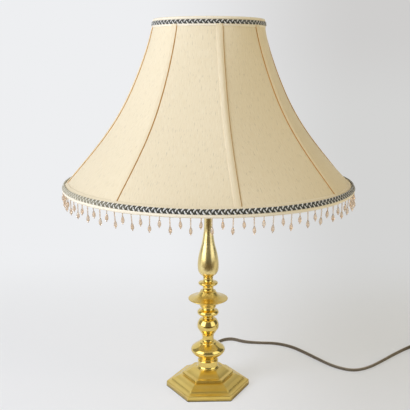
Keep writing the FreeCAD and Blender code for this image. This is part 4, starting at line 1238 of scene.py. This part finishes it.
def fringe(tree, given):
    """Strings hung round the hem, long and short by turns, each leaning its own way."""
    circle = tree.node("GeometryNodeMeshCircle", {
        "Vertices": given["Strings"], "Radius": given["Radius"]})
    index = tree.node("GeometryNodeInputIndex")
    pick = index.left_over(2.0)
    kinds = tree.gather("GeometryNodeGeometryToInstance", [
        tree.node("GeometryNodeObjectInfo", {0: given[kind]}, out="Geometry")
        for kind in ("Short", "Long")])
    tilt = tree.node("FunctionNodeRandomValue", {
        0: LEAST_TILT, 1: MOST_TILT, "Seed": FRINGE_SEED}, data_type="FLOAT_VECTOR")
    turn = tree.node("ShaderNodeCombineXYZ", {
        0: tree.axis(tilt, "X"), 1: tree.axis(tilt, "Y"), 2: index * FULL_TURN / given["Strings"]})
    strings = tree.node("GeometryNodeInstanceOnPoints", {
        "Points": circle, "Instance": kinds, "Pick Instance": True, "Instance Index": pick,
        "Rotation": turn})
    strings = tree.node("GeometryNodeTransform", {
        "Geometry": strings, "Rotation": (0, 0, math.radians(FRINGE_START))})
    lift = tree.node("ShaderNodeCombineXYZ", {2: given["Height"]})
    strings = tree.node("GeometryNodeTransform", {"Geometry": strings, "Translation": lift})
    strings = tree.node("GeometryNodeRealizeInstances", {0: strings})
    return tree.node("GeometryNodeSetMaterial", {"Geometry": strings, "Material": bead_glass})


def make_fringe():
    """The fringe, from one long and one short string."""
    long_string = strand_piece("long_string", 6)
    short_string = strand_piece("short_string", 2)
    piece = grown("bead_fringe", fringe, Strings=STRINGS, Radius=FRINGE_RADIUS,
                  Height=FRINGE_HEIGHT, Long=long_string, Short=short_string)
    for string in (long_string, short_string):
        bpy.data.objects.remove(string)
    return fitted(piece, "shade", "glass_beads",
                  "fringe_seed_beads", "fringe_drop_beads", "fringe_end_beads")


bead_fringe = make_fringe()


# Pieces kept from the source

KEPT = [
    (plain["plated_steel"], "base_nut base_washer threaded_tube holder_lock_nut bottom_ring_wire "
                            "top_ring_wire shade_ribs fitter_ring fitter_arms"),
    (plain["pin_brass"], "terminal_screws screw_shell centre_contact plug_pins"),
    (polished_brass, "holder_cap holder_skirt shade_ring"),
    (plain["holder_insulator"], "holder_insert switch_bar"),
    (plain["bulb_cap_metal"], "bulb_cap bulb_tip"),
    (plain["bulb_insulator_glass"], "bulb_insulator"),
    (plain["pearl_glass"], "bulb_glass"),
    (plain["clear_glass"], "filament_mount"),
    (plain["tungsten"], "filament"),
    (flex_brown, "inner_flex"),
    (plain["core_insulation"], "core_wires"),
    (plain["brown_rubber"], "plug_body"),
]
for material, names in KEPT:
    for name in names.split():
        mesh = nodes[name].data
        mesh.materials.clear()
        mesh.materials.append(material)


# Studio

FLOOR_HALF = 7.0
FLOOR_LINE = [(-7.0, 0.0), (4.2, 0.0), (4.6, 0.05), (4.9, 0.2), (5.1, 0.5), (5.2, 0.9), (5.2, 7.0)]
LAMPS = [
    # name, place, height of its aim, width and height, watts, colour
    ("key_lamp", (-1.30, -0.89, 1.05), 0.25, (0.9, 1.1), 21.0, (0.97, 1.04, 1.27)),
    ("fill_lamp", (1.58, -0.62, 0.75), 0.25, (0.7, 1.0), 6.4, (1.0, 0.84, 0.56)),
    ("back_lamp", (0.35, 1.75, 1.0), 0.35, (1.2, 0.9), 3.5, (1.0, 0.98, 0.95)),
]
ROOM_BANDS = [
    # from the front of the room (0) to its back (1), how brightly brass mirrors it
    (0.0, 0.09), (0.07, 0.10), (0.11, 1.0), (0.40, 1.0), (0.47, 0.10), (0.80, 0.12),
    (0.88, 0.62), (1.0, 0.62),
]
# The paper's dark tone in front is a painted reflection, seen only in the brass.
PAPER_WHITE, MIRRORED_DARK_TONE = rgb(241, 241, 241), rgb(98, 80, 56)
# Painted shade: the glowing wall dims from the left towards the right, and more higher up on the
# right.
WALL_LEFT, WALL_SHADED_RIGHT, WALL_SHADED_HIGH = rgb(238, 239, 241), rgb(212, 212, 211), rgb(207, 206, 205)
ROOM_LIGHT, ROOM_STRENGTH = (1.0, 0.95, 0.78, 1.0), 0.39
ROOM_VIEW = rgb(236, 237, 240)
OVERHEAD = (0.72, 0.9)
OVERHEAD_SHINE = 0.4
MIRRORED_DARK_SPAN = (-0.24, -0.42)
WALL_RISE = (0.0, 0.8)
WALL_SIDES = (-0.0625, 0.2583)
SEEN_FAR = (0.1, 0.75)
MIRRORED_FAR = (0.3, 1.3)


def paper_finish():
    """Pale paper that glows where it is seen, with painted shade that dims the glow towards the
    right, and a painted dark reflection: in the brass, the paper in front shows dark.
    """
    paper = Finish("studio_paper", Roughness=0.9, Specular_IOR_Level=0.1)
    spot = paper.own_spot()
    across, back, height = (paper.axis(spot, letter) for letter in "XYZ")
    seen = paper.node("ShaderNodeLightPath", out="Is Camera Ray")
    mirrored = paper.node("ShaderNodeLightPath", out="Is Glossy Ray")
    # painted dark reflection of the room in front, seen only in the brass
    painted_dark_reflection = mirrored * paper.between(back, *MIRRORED_DARK_SPAN)
    paper.set(Base_Color=paper.mix(painted_dark_reflection, PAPER_WHITE, MIRRORED_DARK_TONE))
    # painted shade on the wall's right side
    right = paper.mix(paper.between(height, *WALL_RISE), WALL_SHADED_RIGHT, WALL_SHADED_HIGH)
    beside = across / (back + 1.0).most(0.5)
    wall = paper.mix(paper.between(beside, *WALL_SIDES), WALL_LEFT, right)
    glow = paper.node("ShaderNodeEmission", {"Color": wall, "Strength": 1.0})
    share = seen * (paper.between(back, *SEEN_FAR) * 0.42 + 0.58)
    share = share.most(mirrored * paper.between(back, *MIRRORED_FAR) * 0.78)
    both = paper.node("ShaderNodeMixShader", {
        0: share, 1: Value(paper, paper.shader.outputs[0]), 2: glow})
    paper.feed(paper.node_tree.nodes["Material Output"].inputs["Surface"], both)
    return paper.material


def make_floor():
    """A pale floor that rises into a backdrop."""
    points = [(x, y, z) for y, z in FLOOR_LINE for x in (-FLOOR_HALF, FLOOR_HALF)]
    faces, _ = grid(len(FLOOR_LINE), 2)
    mesh_piece("studio_floor", points, faces, paper_finish(), closed=False)


def make_lamp(name, place, aim, size, watts, colour):
    """A soft lamp that lights the piece and is not mirrored in the brass."""
    data = bpy.data.lights.new(name, "AREA")
    data.shape = "RECTANGLE"
    data.size, data.size_y = size
    data.energy = watts
    data.color = colour
    lamp = shown(name, data)
    lamp.location = place
    lamp.rotation_mode = "QUATERNION"
    lamp.rotation_quaternion = (Vector((0, 0, aim)) - Vector(place)).to_track_quat("-Z", "Y")
    lamp.visible_glossy = False


def make_room():
    """The pale surround: even light, a plain view of it, and a room for the brass to mirror."""
    world = bpy.data.worlds.new("studio")
    scene.world = world
    world.use_nodes = True
    world.node_tree.nodes.clear()
    room = Tree(world.node_tree)
    seen, mirrored, through = (
        room.node("ShaderNodeLightPath", out=f"Is {kind} Ray")
        for kind in ("Camera", "Glossy", "Transmission"))
    way = room.node("ShaderNodeTexCoord", out="Generated")
    flat = room.node("ShaderNodeVectorMath", {0: way, 1: (1.0, 1.0, 0.0)}, operation="MULTIPLY")
    flat = room.node("ShaderNodeVectorMath", {0: flat}, operation="NORMALIZE")
    bands = room.node("ShaderNodeValToRGB", {0: room.axis(flat, "Y") * 0.5 + 0.5})
    stops = bands.socket.node.color_ramp.elements
    while len(stops) < len(ROOM_BANDS):
        stops.new(1.0)
    for stop, (place, level) in zip(stops, ROOM_BANDS):
        stop.position = place
        stop.color = (level, level, level, 1.0)
    shine = bands * (room.axis(flat, "X") * -0.75 + 1.85)
    overhead = room.between(room.axis(way, "Z"), *OVERHEAD)
    shine = shine * (1.0 - overhead) + overhead * OVERHEAD_SHINE
    light, view, mirror = (
        room.node("ShaderNodeBackground", {"Color": colour, "Strength": strength})
        for colour, strength in ((ROOM_LIGHT, ROOM_STRENGTH), (ROOM_VIEW, 1.0),
                                 ((1.0, 1.0, 1.0, 1.0), shine)))
    mixed = room.node("ShaderNodeMixShader", {0: seen.most(through), 1: light, 2: view})
    mixed = room.node("ShaderNodeMixShader", {0: mirrored, 1: mixed, 2: mirror})
    room.feed(world.node_tree.nodes.new("ShaderNodeOutputWorld").inputs["Surface"], mixed)


make_floor()
for lamp_row in LAMPS:
    make_lamp(*lamp_row)
make_room()
scene.view_settings.view_transform = "Standard"
